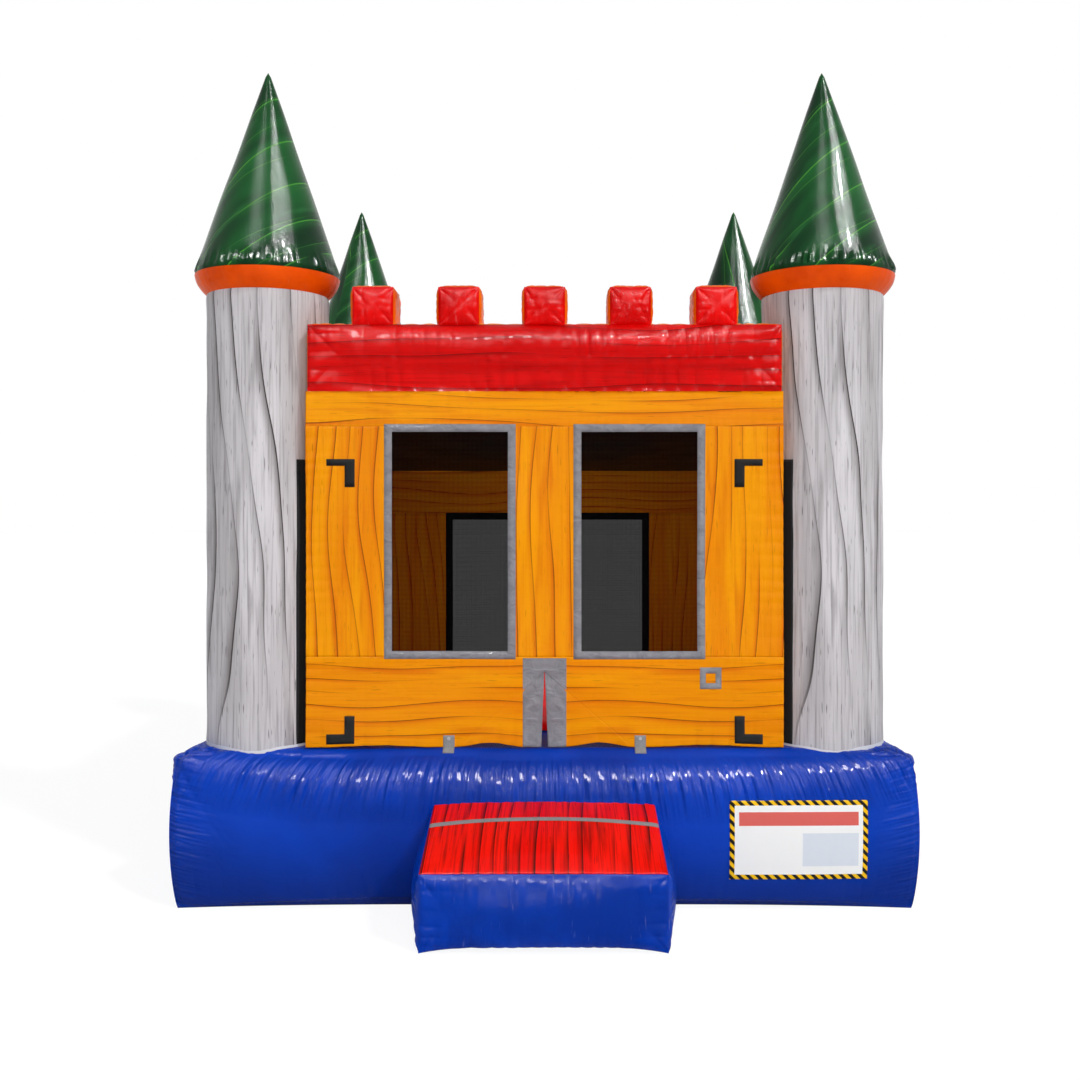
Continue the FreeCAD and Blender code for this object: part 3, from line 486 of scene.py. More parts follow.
def tufts(name, tone, deep):
    f = Finish(name, 0.9, 0.0, 0.15)
    u, v = f.uv()
    fuzz = f.noise(u * 600.0, v * 600.0, 1.0, detail=2.0)
    f.paint("Base Color", f.blend(fuzz.above(0.3, 0.7), deep, tone))
    f.bump(fuzz, 0.001)
    return f.mat


tape_grey = wrinkled_tape("grey_tape", srgb(158, 157, 162), srgb(108, 107, 112))
strap_grey = webbing("grey_webbing", srgb(160, 160, 160), srgb(96, 96, 98))
hook_black = tufts("hook_loop", srgb(24, 21, 21), srgb(8, 7, 7))


# %% Steel and the printed board
def steel_finish(name):
    f = Finish(name, 0.32, 0.0)
    f.skin.inputs["Metallic"].default_value = 1.0
    spot = f.node("ShaderNodeTexCoord", None, out=3)
    brushed = f.node("ShaderNodeTexNoise", None, ("Vector", spot), ("Scale", 220.0), ("Detail", 3.0))
    f.paint("Base Color", f.blend(brushed, srgb(150, 150, 152), srgb(205, 205, 207)))
    f.paint("Roughness", brushed * 0.2 + 0.22)
    return f.mat


def board_print(name, width, height):
    """White panel with a slanted yellow and black edge and two pale blank fields."""
    f = Finish(name, 0.4, 0.15)
    u, v = f.uv()
    from_ends = u.math("ABSOLUTE") * -1.0 + width / 2
    from_side = from_ends.math("MINIMUM", v.math("ABSOLUTE") * -1.0 + height / 2)
    edge = 1.0 - from_side.above(0.026, 0.027)
    stripe = ((u + v) * (1.0 / 0.05)).math("FRACT").math("GREATER_THAN", 0.5)
    tone = f.blend(edge, srgb(238, 238, 236), f.blend(stripe, srgb(240, 190, 20), srgb(24, 22, 20)))
    head = (v - height * 0.27).math("ABSOLUTE").math("LESS_THAN", height * 0.085)
    inside = from_side.math("GREATER_THAN", 0.05)
    tone = f.blend(head * inside * 0.9, tone, srgb(214, 60, 44))
    low = (v + height * 0.12).math("ABSOLUTE").math("LESS_THAN", height * 0.21)
    right = u.math("GREATER_THAN", 0.02)
    tone = f.blend(low * inside * right * 0.8, tone, srgb(206, 214, 224))
    f.paint("Base Color", tone)
    folds = f.noise(u * 8.0, v * 8.0, 2.0, detail=2.0)
    f.bump(folds, 0.003)
    return f.mat


steel = steel_finish("zinc_steel")
print("Finishes made:", len(bpy.data.materials))

# %% [markdown]
# ### Blue skin of the base
# The base is one skin that rolls from the wall over to the deck. Its baffles pull it in, so the
# roll is full of short upright gathers, each with its own bright fleck. They are too fine and too
# many for geometry, so relief makes them, and it fades away from the roll, which is v = 0.


# %% Gathered blue
def gathered_blue(name):
    f = Finish(name, 0.20, 0.10)
    u, v = f.uv()
    cloud = f.noise(u * 1.6, v * 1.6, 0.3, detail=3.0, rough=0.6)
    # Painted shade: the wall's blue is darkened from 0.2 m to 0.7 m below the roll, towards its foot.
    low = (v * -1.0).above(0.20, 0.70)
    body = f.blend(cloud.above(0.3, 0.7), srgb(0, 50, 158), srgb(2, 62, 184))
    body = f.blend(low * 0.8, body, srgb(0, 38, 122))
    near_roll = 1.0 - (v + 0.02).math("ABSOLUTE").above(0.08, 0.20)
    slant = u + u * v * 0.18
    strokes = f.noise(slant * 44.0, v * 2.6, 3.0, detail=1.0, rough=0.5)
    broad = f.noise(slant * 18.0, v * 2.0, 6.0, detail=1.0)
    near_corner = u.math("ABSOLUTE").above(1.70, 1.95)
    level = f.noise(u * 2.6, v * 34.0, 12.0, detail=1.0)
    folds = f.noise(u * 5.0, v * 5.0, 4.1, detail=2.0, rough=0.5, twist=0.8)
    f.paint("Base Color", body)
    f.paint("Roughness", cloud * 0.10 + 0.16)
    relief = (strokes * 0.7 + broad * 1.0) * near_roll + level * near_corner * 0.8
    f.bump(relief + folds * 0.3 + weave(f, u, v) * 0.015, 0.022)
    return f.mat


base_blue = gathered_blue("base_blue")

# %% [markdown]
# ## Surfaces from numpy grids
# Every new piece is a grid of points worked out by a formula in two parameters. The helpers below
# turn such grids into one mesh: grids are added side by side, each point carries its place on
# the cloth in metres for the prints, and points that share a seam are welded at the end.


# %% Repeatable random lines and folds
def chance(k, seed):
    """A repeatable number from 0 to 1 for each whole number: the fraction of a large sine."""
    x = np.sin(k * 127.1 + seed * 311.7) * 43758.5453
    return x - np.floor(x)


def wander(s, step, seed):
    """A smooth random line from 0 to 1: chances one step apart, joined by half cosine waves."""
    s = np.asarray(s, float) / step
    low = np.floor(s)
    share = 0.5 - 0.5 * np.cos(np.pi * (s - low))
    return chance(low, seed) * (1 - share) + chance(low + 1, seed) * share


def blotch(x, y, size, seed):
    """A smooth random surface from 0 to 1: wander along x on rows that are blended along y."""
    row = np.asarray(y, float) / size
    low = np.floor(row)
    share = 0.5 - 0.5 * np.cos(np.pi * (row - low))
    one = wander(x + 31.7 * low * size, size, seed)
    two = wander(x + 31.7 * (low + 1) * size, size, seed)
    return one * (1 - share) + two * share


def gathers(s, spacing, seed):
    """Puckers along a seam: the size of a sine with an uneven pitch, so valleys are sharp."""
    phase = s / spacing + 1.3 * wander(s, spacing * 3, seed)
    return np.abs(np.sin(np.pi * phase)) ** 0.7 * (0.35 + 0.65 * wander(s, spacing * 1.9, seed + 3))


def outward(P):
    """Unit normals of a grid of points: the cross product of its two directions."""
    n = np.cross(np.gradient(P, axis=0), np.gradient(P, axis=1))
    return n / np.maximum(np.linalg.norm(n, axis=-1, keepdims=True), 1e-9)


# %% Grids to one mesh
class Cloth:
    """Grids of points that become one mesh, with their place on the cloth in metres."""

    def __init__(self):
        self.points, self.quads, self.places, self.kinds, self.lids = [], [], [], [], []
        self.count = 0

    def lay(self, P, UV, around=False, kind=0, flip=False, keep=None):
        """Adds a grid P with cloth places UV. around joins its last row to its first."""
        nu, nv = P.shape[:2]
        index = np.arange(nu * nv).reshape(nu, nv) + self.count
        if around:
            index = np.vstack([index, index[:1]])
        corners = [(slice(None, -1), slice(None, -1)), (slice(1, None), slice(None, -1)),
                   (slice(1, None), slice(1, None)), (slice(None, -1), slice(1, None))]
        if flip:
            corners = corners[::-1]
        q = np.stack([index[c] for c in corners], -1)
        t = np.stack([UV[c] for c in corners], -2)
        if keep is not None:
            q, t = q[keep], t[keep]
        self.points.append(P.reshape(-1, 3))
        self.quads.append(q.reshape(-1, 4))
        self.places.append(t.reshape(-1, 4, 2))
        self.kinds.append(np.full(len(self.quads[-1]), kind))
        self.count += nu * nv
        return index

    def lid(self, ring, kind=0):
        """Closes a ring of point numbers with one flat face."""
        self.lids.append((list(map(int, ring)), kind))


def sew(name, cloth, finishes, stands_for=(), slot=None, body="house", crease=38, closed=True,
        thick=None, side=-1.0):
    """Makes the mesh, welds its seams, gives it thickness if asked, and puts it on its body."""
    mesh = bpy.data.meshes.new(name)
    quads = np.concatenate(cloth.quads)
    faces = quads.tolist() + [ring for ring, kind in cloth.lids]
    points = np.concatenate(cloth.points)
    mesh.from_pydata(points.tolist(), [], faces)
    places = [np.concatenate(cloth.places).reshape(-1, 2)]
    places += [points[ring][:, :2] for ring, kind in cloth.lids]
    layer = mesh.uv_layers.new(name="UVMap")
    layer.data.foreach_set("uv", np.concatenate(places).astype(np.float32).ravel())
    kinds = np.concatenate(cloth.kinds + [np.array([kind for ring, kind in cloth.lids], int)])
    mesh.polygons.foreach_set("material_index", kinds.astype(np.int32))
    for finish in finishes if isinstance(finishes, (list, tuple)) else [finishes]:
        mesh.materials.append(finish)
    b = bmesh.new()
    b.from_mesh(mesh)
    bmesh.ops.remove_doubles(b, verts=b.verts, dist=2e-5)
    loose = [v for v in b.verts if not v.link_faces]
    bmesh.ops.delete(b, geom=loose, context="VERTS")
    if closed:
        bmesh.ops.recalc_face_normals(b, faces=b.faces)
    b.to_mesh(mesh)
    b.free()
    mesh.polygons.foreach_set("use_smooth", np.ones(len(mesh.polygons), bool))
    mesh.set_sharp_from_angle(angle=math.radians(crease))
    obj = bpy.data.objects.new(name, mesh)
    bpy.context.scene.collection.objects.link(obj)
    if thick:
        wall = obj.modifiers.new("thickness", "SOLIDIFY")
        wall.thickness = thick
        wall.offset = side
    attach(obj, body)
    if stands_for:
        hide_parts(*([stands_for] if isinstance(stands_for, str) else stands_for))
    print(f"{name}: {len(mesh.polygons)} faces")
    return obj


def spread(low, high, count):
    return np.linspace(low, high, count)


def join(*runs):
    return np.concatenate(runs)


def grid(xs, ys):
    """Two coordinate grids: the first runs down the rows, the second along them."""
    return np.meshgrid(xs, ys, indexing="ij")


def stack(*parts):
    """Coordinates brought to one shape and stacked along a new last axis."""
    return np.stack(np.broadcast_arrays(*parts), -1)


# %% [markdown]
# ## Base
# The base is an air mattress 3.96 m square. Between its corners the skin rolls from wall to deck
# in a wide curve, and at each corner it pinches to a point. A grid for each side says this well:
# one parameter runs along the side, the other climbs the wall, turns over the roll and goes in
# across the deck, and the roll shrinks to nothing at both ends.

# %% Sides of the base
half = 1.98
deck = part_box("base_cushion")[1][2]
edge = 0.81
floor_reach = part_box("bounce_floor")[1][0]
wall_rows = 48


def base_side(columns, front):
    """One side as a grid (along, up). The skin tucks out from the ground to a welded foot seam,
    climbs the wall, turns over in a quarter ellipse whose size falls with a^6, and crosses the
    deck. The upright corners bow by sin(pi z / edge)^0.7, and the walls swell between them."""
    a = np.sin(spread(-1, 1, columns) * math.pi / 2)
    A = (0.5 * a + 0.5 * spread(-1, 1, columns))[:, None]
    fade = 1 - np.abs(A) ** 6
    top = deck - (deck - edge) * np.abs(A) ** 14
    deep, tall = 0.012 + 0.105 * fade, 0.010 + 0.155 * fade
    seam = 0.004 + 0.052 * (1 - A ** 4)
    t = spread(0, 1, 5)[:-1][None, :]
    over = spread(0, math.pi / 2, 24)[1:][None, :]
    across = spread(0, 1, 15)[1:][None, :]
    low_z = seam * t
    wall_z = seam + (top - tall - seam) * spread(0, 1, wall_rows - 4)[None, :]
    roll_z = top - tall + tall * np.sin(over)
    Z = np.hstack([low_z, wall_z, roll_z, top + (deck - top) * np.minimum(across * 4, 1)])
    tuck = 0.055 * (1 - A ** 4) * (1 - t)
    deck_in = deep + (half - floor_reach + 0.02 - deep) * across
    D = np.hstack([tuck, 0 * wall_z, deep * (1 - np.cos(over)), deck_in])
    share = np.clip(Z / edge, 0, 1)
    climb = np.clip((Z - seam) / (edge - seam), 0, 1)
    bow = 0.036 * np.sin(math.pi * share) ** 0.7 * (1.0 if front else np.abs(A) ** 8)
    if front:
        swell = 0.050 * (1 - A ** 2) ** 0.5 * np.sin(math.pi * climb) ** 0.7
    else:
        swell = 0.038 * (1 - A ** 2) * 4 * share * (1 - share)
    lip = 0.005 * np.exp(-((Z - seam) / 0.005) ** 2) * (1 - A ** 4)
    X = A * (half + bow - D)
    Y = -(half + bow - D) - swell - lip
    return A, X, Y, Z, D


anchors = ((-1.5, 0.2, 0.10), (1.5, 0.2, 0.10))
zip_spots = ((0.72, 0.40, 0.11), (0.9, 0.40, 0.11), (1.08, 0.40, 0.11))
fittings = {1: anchors, 2: zip_spots, 3: anchors}
base_cloth = Cloth()
under, over_deck, skins = [], [], []
for number, turn in enumerate((0, 90, 180, 270)):
    A, X, Y, Z, D = base_side(560 if number == 0 else 260, number == 0)
    smooth = stack(X, Y, Z)
    P = smooth
    length = np.cumsum(np.linalg.norm(np.diff(P, axis=1, prepend=P[:, :1]), axis=-1), axis=1)
    v = length - length[:, wall_rows - 1 : wall_rows]
    s = A * half + number * 7.0
    seam = 1 - np.abs(A)
    wall = (D < 0.01) & (Z > 0.06)
    lean = s + 0.35 * A * v
    band = np.exp(-((v + 0.03) / 0.085) ** 2)
    pucker = (gathers(lean, 0.062, 4 + number) * 0.017 + gathers(lean, 0.027, 6 + number) * 0.006) * band
    crest = gathers(lean, 0.045, 8 + number) * np.exp(-((v - 0.10) / 0.05) ** 2) * 0.007
    foot = gathers(s, 0.09, 9 + number) * np.exp(-Z / 0.10) * 0.010 * wall
    upright = gathers(Z + 3 * number, 0.045, 15) * np.exp(-seam * half / 0.10) * 0.018 * wall
    corner = np.hypot(seam * half, Z - edge)
    angle = np.arctan2(edge - Z, seam * half + 1e-6)
    star = np.abs(np.sin(angle * 3 + 0.2)) ** 0.6 * np.exp(-corner / 0.26) * 0.026 * (Z < edge + 0.02)
    soft = (blotch(s, Z + D, 0.45, 21) - 0.5) * 0.016
    hold = np.clip(seam / 0.02, 0, 1) * np.clip(Z / 0.05, 0, 1)
    away = np.clip(seam * half / 0.05, 0, 1)
    shift = (pucker + crest + foot + upright + soft) * hold + star * away - 0.006
    shift = np.where(v > 0.16, np.minimum(shift, 0.0) * 0.4, shift)
    for at, height, wide in fittings.get(number, ()):
        shift = shift * (1 - np.exp(-(((A * half - at) / wide) ** 2 + ((Z - height) / wide) ** 2) ** 2))
    P = P + outward(P) * (shift * np.clip(Z / 0.02, 0, 1))[..., None]
    P[..., 2] = np.maximum(P[..., 2], 0.0)
    P[0], P[-1] = smooth[0], smooth[-1]
    skins.append(P)
    c, n = round(math.cos(math.radians(turn))), round(math.sin(math.radians(turn)))
    P = stack(c * P[..., 0] - n * P[..., 1], n * P[..., 0] + c * P[..., 1], P[..., 2])
    index = base_cloth.lay(P, stack(A * half, v))
    under += list(index[:-1, 0])
    over_deck += list(index[:-1, -1])
base_cloth.lid(under)
base_cloth.lid(over_deck)
base = sew("base_skin", base_cloth, base_blue, "base_cushion", "blue_vinyl", crease=50)

# %% [markdown]
# ## Columns, collars and spires
# These are tubes and cones of cloth. A profile of radius and height, swept round the axis, gives
# the shape, and gathers that fade away from each seam give the look of air pushing on cloth. The
# cloth place runs round the tube in metres, so the wood print keeps its scale.


# %% Swept profiles
def sweep(cloth, centre, radius, height, around, pucker, turned=0.0):
    """Surface of revolution: radius and height along the profile, plus pucker(angle, row)."""
    angle = spread(0, math.tau, around + 1)[:-1] + turned
    R = radius[None, :] + pucker(angle[:, None], height[None, :])
    x, y = R * np.cos(angle)[:, None], R * np.sin(angle)[:, None]
    P = stack(centre[0] + x, centre[1] + y, height[None, :])
    wide = np.max(radius)
    run = np.concatenate([[0], np.cumsum(np.hypot(np.diff(radius), np.diff(height)))])
    angles = spread(0, math.tau, around + 1)
    return cloth.lay(P, stack(angles[:, None] * wide, height[0] + run[None, :]), around=True)


axis, column_radius, spire_radius = 1.59, 0.342, 0.419
corners = {
    f"{end}_{hand}": (x, y) for end, y in (("front", -axis), ("rear", axis))
    for hand, x in (("left", -axis), ("right", axis))
}
white = vinyl("white_trim", srgb(214, 214, 216), srgb(236, 236, 238), 0.4, 0.1, 0.1)
column_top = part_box("column_front_left")[1][2]
collar_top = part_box("collar_front_left")[1][2]
spire_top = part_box("spire_front_left")[1][2]
column_ease = {}
for number, (corner, (x, y)) in enumerate(corners.items()):
    seed = 5 * number

    def column_folds(angle, z, number=number, seed=seed):
        """Soft wandering dents, and gathers that fade from both end seams."""
        s = angle * column_radius
        ring = np.sin(angle * 3 + 2 * z + number) * 0.0016
        end = np.exp(-(column_top - z) / 0.07) + 0.6 * np.exp(-(z - deck) / 0.06)
        dents = (blotch(s, z, 0.22, 3 + seed) - 0.5) * 0.008
        pull = gathers(s, 0.075, 8 + seed) * end * 0.014
        return (ring + dents + pull - 0.004) * np.clip(1.0 - 0.8 * end, 0.25, 1)

    column_ease[corner] = column_folds
    tube = Cloth()
    height = join(
        [deck - 0.06, deck + 0.010], spread(deck + 0.0125, deck + 0.25, 12),
        spread(deck + 0.3, column_top - 0.3, 50), spread(column_top - 0.26, column_top, 16),
    )
    radius = np.full(len(height), column_radius)
    radius[-2:] -= (0.001, 0.004)
    index = sweep(tube, (x, y), radius, height, 112, column_folds, turned=math.pi / 2)
    foot = tube.points[-1]
    over = np.clip(np.abs(foot[:, :2]).max(axis=1) - 1.885, 0, 0.085)
    on_seam = np.arange(len(foot)) % len(height) == 1
    foot[:, 2] -= np.where(on_seam, 0.125 * (1 - np.sqrt(1 - (over / 0.09) ** 2)), 0)
    tube.kinds[-1] = np.where(np.arange(len(tube.kinds[-1])) % (len(height) - 1) == 0, 1, 0)
    tube.lid(index[:-1, 0])
    tube.lid(index[:-1, -1])
    finishes = [grey_wood, white]
    column = sew("column_skin_" + corner, tube, finishes, "column_" + corner, "wood_grey_vinyl")

    def collar_folds(angle, z):
        """Gathers at both seams of the short flared ring."""
        s = angle * 0.38
        near = np.exp(-(z - column_top) / 0.02) + np.exp(-(collar_top - z) / 0.02)
        return (gathers(s, 0.06, 2 + seed) * 0.007 - 0.003) * (1 - 0.5 * near)

    band = Cloth()
    t = spread(0, 1, 15)
    radius = 0.338 + 0.067 * t ** 0.85 + 0.012 * np.sin(math.pi * t)
    index = sweep(band, (x, y), radius, column_top + (collar_top - column_top) * t, 128, collar_folds)
    band.lid(index[:-1, 0])
    band.lid(index[:-1, -1])
    collar = sew("collar_skin_" + corner, band, collar_orange, "collar_" + corner, "orange_vinyl")

    def spire_folds(angle, z):
        """Deep upright gathers over the swell, which fade up the cone, and faint dents above."""
        s = angle * 0.41
        up = z - collar_top
        deep = (gathers(s, 0.050, 6 + seed) - 0.5) * np.exp(-((up - 0.045) / 0.045) ** 2) * 0.036
        deep = deep * np.clip(up / 0.02, 0, 1)
        dents = (blotch(s, z, 0.3, 9 + seed) - 0.5) * 0.008 * np.clip((spire_top - z) / 0.5, 0, 1)
        return deep + dents - 0.004 * np.clip((spire_top - z) / 0.2, 0, 1)

    cone = Cloth()
    t = spread(0, 1, 60) ** 1.3
    height = collar_top + (spire_top - collar_top) * t
    up = height - collar_top
    tall = spire_top - collar_top
    radius = spire_radius * (1 - np.clip(up - 0.07, 0, None) / (tall - 0.07) * 0.985)
    radius = np.where(up < 0.10, radius - 0.020 * np.clip(1 - up / 0.10, 0, 1) ** 2.2, radius)
    into_tip = np.clip(up - tall + 0.013, 0, None)
    tip = np.sqrt(np.clip(0.013 ** 2 - into_tip ** 2, 1e-7, None))
    radius = np.minimum(radius, tip + np.clip(tall - up, 0, None) * 0.34)
    index = sweep(cone, (x, y), radius, height, 144, spire_folds, turned=2.1 * number)
    cone.lid(index[:-1, 0])
    cone.lid(index[:-1, -1])
    slant = np.hypot(spire_radius, tall)
    rho = slant * (1 - np.clip(up / tall, 0, 1))
    turned = (spread(0, math.tau, 145) - math.pi * 1.25 + 2.1 * number)[:, None]
    phi = turned * spire_radius / slant
    flat = stack(rho[None, :] * np.sin(phi), -rho[None, :] * np.cos(phi))
    corners_of = [flat[:-1, :-1], flat[1:, :-1], flat[1:, 1:], flat[:-1, 1:]]
    cone.places[-1] = np.stack(corners_of, -2).reshape(-1, 4, 2)
    spire = sew("spire_skin_" + corner, cone, green, "spire_" + corner, "green_vinyl", crease=60)

# %% [markdown]
# ## Puffed blocks
# Beams, battlements and the step are blocks sewn from flat panels. Under air each panel crowns
# between its seams, gathers run in from the edges, and creases fan out of the corners. One
# function makes such a panel from its four corners, and a block is six of them welded together.


# %% A puffed panel
def puff(cloth, quad, bulge, count, seed, kind=0, gather=0.008, spacing=0.06, reach=0.05,
         star=0.012, power=2.2, part=None, lift=0.0, crest=0.0, tuck=0.0):
    """Grid over four corners, pushed out by bulge (1 - |a|^p)(1 - |b|^p)(1 + crest b) plus seam
    gathers that grow and fade as d exp(-d / reach), plus creases |sin k angle| round each corner.
    tuck sets back the part below a soft crease that wanders along b = -0.25."""
    quad = np.array(quad, float)
    nu, nv = count
    a, b = spread(-1, 1, nu)[:, None], spread(-1, 1, nv)[None, :]
    a = np.sign(a) * np.abs(a) ** 0.85
    b = np.sign(b) * np.abs(b) ** 0.85
    if part:
        a, b = spread(part[0], part[1], nu)[:, None], spread(part[2], part[3], nv)[None, :]
    wa, wb = (1 + a) / 2, (1 + b) / 2
    weights = [(1 - wa) * (1 - wb), wa * (1 - wb), wa * wb, (1 - wa) * wb]
    P = sum(w[..., None] * q for w, q in zip(weights, quad))
    wide = (np.linalg.norm(quad[1] - quad[0]) + np.linalg.norm(quad[2] - quad[3])) / 2
    tall = (np.linalg.norm(quad[3] - quad[0]) + np.linalg.norm(quad[2] - quad[1])) / 2
    normal = np.cross(quad[2] - quad[0], quad[3] - quad[1])
    normal = normal / np.linalg.norm(normal)
    crown = bulge * (1 - np.abs(a) ** power) * (1 - np.abs(b) ** power) * (1 + crest * b)
    crease = b + 0.25 + 0.12 * (wander(a * wide / 2, 0.5, seed + 5) - 0.5)
    below = 0.5 - 0.5 * np.tanh(crease / 0.09)
    crown = crown - tuck * below * (1 - np.abs(b) ** 6) * (1 - np.abs(a) ** 8)
    s, r = (a * wide / 2 + 0 * b), (b * tall / 2 + 0 * a)
    da, db = (1 - np.abs(a)) * wide / 2 + 0 * b, (1 - np.abs(b)) * tall / 2 + 0 * a
    fold = 0
    for d, along, k in ((db, s, 0), (da, r, 7)):
        other = da if k == 0 else db
        close = d / reach * np.exp(1 - d / (reach * (0.6 + 0.8 * wander(along, spacing, seed + k))))
        half_side = np.sign(b if k == 0 else a)
        puckers = gathers(along + 5 * half_side, spacing, seed + k) * close
        fold = fold + puckers * np.clip(other / 0.04, 0, 1)
    fan = 0
    for ca in (-1, 1):
        for cb in (-1, 1):
            u, v = (1 - ca * a) * wide / 2, (1 - cb * b) * tall / 2
            radius = np.hypot(u, v)
            angle = np.arctan2(v, u + 1e-9)
            rise = radius / (3 * reach) * np.exp(1 - radius / (1.5 * reach))
            edge_hold = np.clip(np.minimum(u, v) / 0.012, 0, 1)
            ripple = np.abs(np.sin(angle * 3 + chance(seed + ca + 2 * cb, 3))) ** 0.6 - 0.5
            fan = fan + ripple * rise * edge_hold
    dents = (blotch(s, r, 0.16, seed + 11) - 0.5) * gather * 0.6
    hold = np.clip(np.minimum(da, db) / 0.02, 0, 1)
    lift = lift + crown + fold * gather + fan * star + dents * hold
    P = P + normal * lift[..., None]
    cloth.lay(P, stack(s, r) + np.array([seed * 0.37, seed * 0.21]), kind=kind)


def block_corners(x0, x1, y0, y1, z0, z1):
    """The six panels of a block as corner lists that turn outwards."""
    c = lambda i, j, k: ((x0, x1)[i], (y0, y1)[j], (z0, z1)[k])
    return {
        "front": [c(0, 0, 0), c(1, 0, 0), c(1, 0, 1), c(0, 0, 1)],
        "right": [c(1, 0, 0), c(1, 1, 0), c(1, 1, 1), c(1, 0, 1)],
        "rear": [c(1, 1, 0), c(0, 1, 0), c(0, 1, 1), c(1, 1, 1)],
        "left": [c(0, 1, 0), c(0, 0, 0), c(0, 0, 1), c(0, 1, 1)],
        "top": [c(0, 0, 1), c(1, 0, 1), c(1, 1, 1), c(0, 1, 1)],
        "bottom": [c(0, 1, 0), c(1, 1, 0), c(1, 0, 0), c(0, 0, 0)],
    }


# %% [markdown]
# ## Beams
# The front beam has a red front and amber top, ends and underside. Its battlements press on it,
# so its top gathers are deep. The other three beams are amber all over. Their ends run into the
# columns, which hide them.

# %% Four beams
beam_low, beam_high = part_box("beam_front")
front_y = -1.89
front_half = 1.30
beam = Cloth()
panels = block_corners(-front_half, front_half, front_y, front_y + 0.30, beam_low[2], beam_high[2])
puff(beam, panels["front"], 0.062, (300, 60), 1, 0, 0.015, 0.10, 0.06, 0.024, crest=0.75, tuck=0.020)
puff(beam, panels["top"], 0.012, (300, 24), 2, 1, 0.008, 0.085, 0.05, 0.010)
puff(beam, panels["rear"], 0.026, (300, 44), 3, 1, 0.008, 0.085, 0.05, 0.010)
puff(beam, panels["bottom"], 0.0, (300, 24), 4, 1, 0.004, 0.085, 0.05, 0.004)
puff(beam, panels["left"], 0.010, (24, 44), 5, 1, 0.004, 0.07, 0.04, 0.010)
puff(beam, panels["right"], 0.010, (24, 44), 6, 1, 0.004, 0.07, 0.04, 0.010)
front_beam = sew("front_beam_skin", beam, [red_wood, amber], "beam_front", "red_vinyl")

for side, turn in (("rear", 0), ("left", 1), ("right", -1)):
    low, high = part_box("beam_" + side)
    beam = Cloth()
    panels = block_corners(-1.33, 1.33, 1.40, 1.70, low[2], high[2])
    for number, (name, quad) in enumerate(panels.items()):
        count = (24, 36) if name in ("left", "right") else (180, 24 if name in ("top", "bottom") else 36)
        crown = {"front": 0.024, "rear": 0.030, "top": 0.012}.get(name, 0.0)
        quad = [(x, y, z) if turn == 0 else (-turn * y, turn * x, z) for x, y, z in quad]
        puff(beam, quad, crown, count, 20 + number, 0, 0.010, 0.085, 0.05, 0.02)
    side_beam = sew(side + "_beam_skin", beam, amber, "beam_" + side, "orange_vinyl")

# %% [markdown]
# ## Battlements
# Five cubes stand on the front beam. Each is a tight little cushion: its red face is pulled in at
# four corners, which leaves a cross of creases, and its other faces are amber.

# %% Five battlements
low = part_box("merlons")[0]
row = Cloth()
for number in range(5):
    x = (number - 2) * 0.471
    panels = block_corners(x - 0.112, x + 0.112, -1.888, -1.664, low[2] - 0.006, low[2] + 0.206)
    for place, (name, quad) in enumerate(panels.items()):
        crown = {"bottom": 0.0, "front": 0.030}.get(name, 0.012)
        kind = 0 if name == "front" else 1
        puff(row, quad, crown, (34, 34), 40 + 9 * number + place, kind, 0.004, 0.05, 0.03, 0.024, power=1.7)
battlements = sew("battlement_skins", row, [red, orange], "merlons", "red_vinyl", crease=42)

# %% [markdown]
# ## Front sheet
# The whole front is one hung sheet: upright-grained yellow between two level-grained bands, two
# net windows with taped edges, and a slit doorway whose lower corners fold aside. Everything on
# it lies on the same eased surface, so the pieces wrinkle together. Rows of points at set
# heights run from a left edge to a right edge, which draws slanted flaps as easily as bands.


# %% The sheet's ease and row-filled panels
sheet_y = -1.883
sheet_half = 1.31
lower_seam, header_seam, beam_foot, sheet_foot = 1.343, 2.608, 2.80, 0.848
slit_top, flap_reach = 1.259, 0.480


def fold_x(z):
    """The doorway's fold line, from the slit's top down to the foot beside the tab."""
    return flap_reach * np.clip((slit_top - z) / (slit_top - sheet_foot), 0, 1)


def front_ease(X, Z):
    """How far the sheet stands out: wide soft waves, gathers along its seams and edges, nothing
    at the two hold-down tabs, and almost nothing along the fold lines beside the slit."""
    side = sheet_half - np.abs(X)
    waves = (blotch(X, Z, 0.42, 33) - 0.5) * 0.020 + (blotch(X * 2.2, Z, 0.30, 35) - 0.5) * 0.007
    pull = gathers(Z, 0.075, 31) * np.exp(-side / 0.10) * 0.009
    seams = sum(
        gathers(X, 0.055, 40 + k) * np.exp(-np.abs(Z - z) / 0.035) * 0.004
        for k, z in enumerate((lower_seam, header_seam))
    )
    top = gathers(X, 0.09, 45) * np.exp(-(beam_foot - Z) / 0.05) * 0.006
    foot = gathers(X, 0.11, 37) * np.exp(-(Z - sheet_foot) / 0.09) * 0.010
    tab = np.hypot(np.abs(X) - 0.525, (Z - 0.87) * 0.6)
    fold = np.hypot((np.abs(X) - fold_x(Z)) * 0.65, np.clip(Z - slit_top, 0, None))
    calm = (1 - np.exp(-(tab / 0.085) ** 4)) * (1 - 0.95 * np.exp(-(fold / 0.05) ** 2))
    return (waves + pull + seams + top + foot) * calm


def on_front(X, Z, out=0.0):
    """Sheet points. Between its tabs the foot is drawn up in shallow scallops."""
    scallop = (0.012 * np.sin(math.pi * np.clip((np.abs(X) - 0.56) / 0.70, 0, 1)) ** 2
               + 0.024 * np.sin(math.pi * np.clip((np.abs(X) - 0.10) / 0.40, 0, 1)) ** 2)
    drawn = Z + scallop * np.exp(-(Z - sheet_foot) / 0.05)
    return stack(X, sheet_y - out - front_ease(X, Z), drawn)


def mirrored(sign):
    """The sheet's surface for one half, with x counted from the middle."""
    return lambda X, Z, out: on_front(sign * X, Z, out)


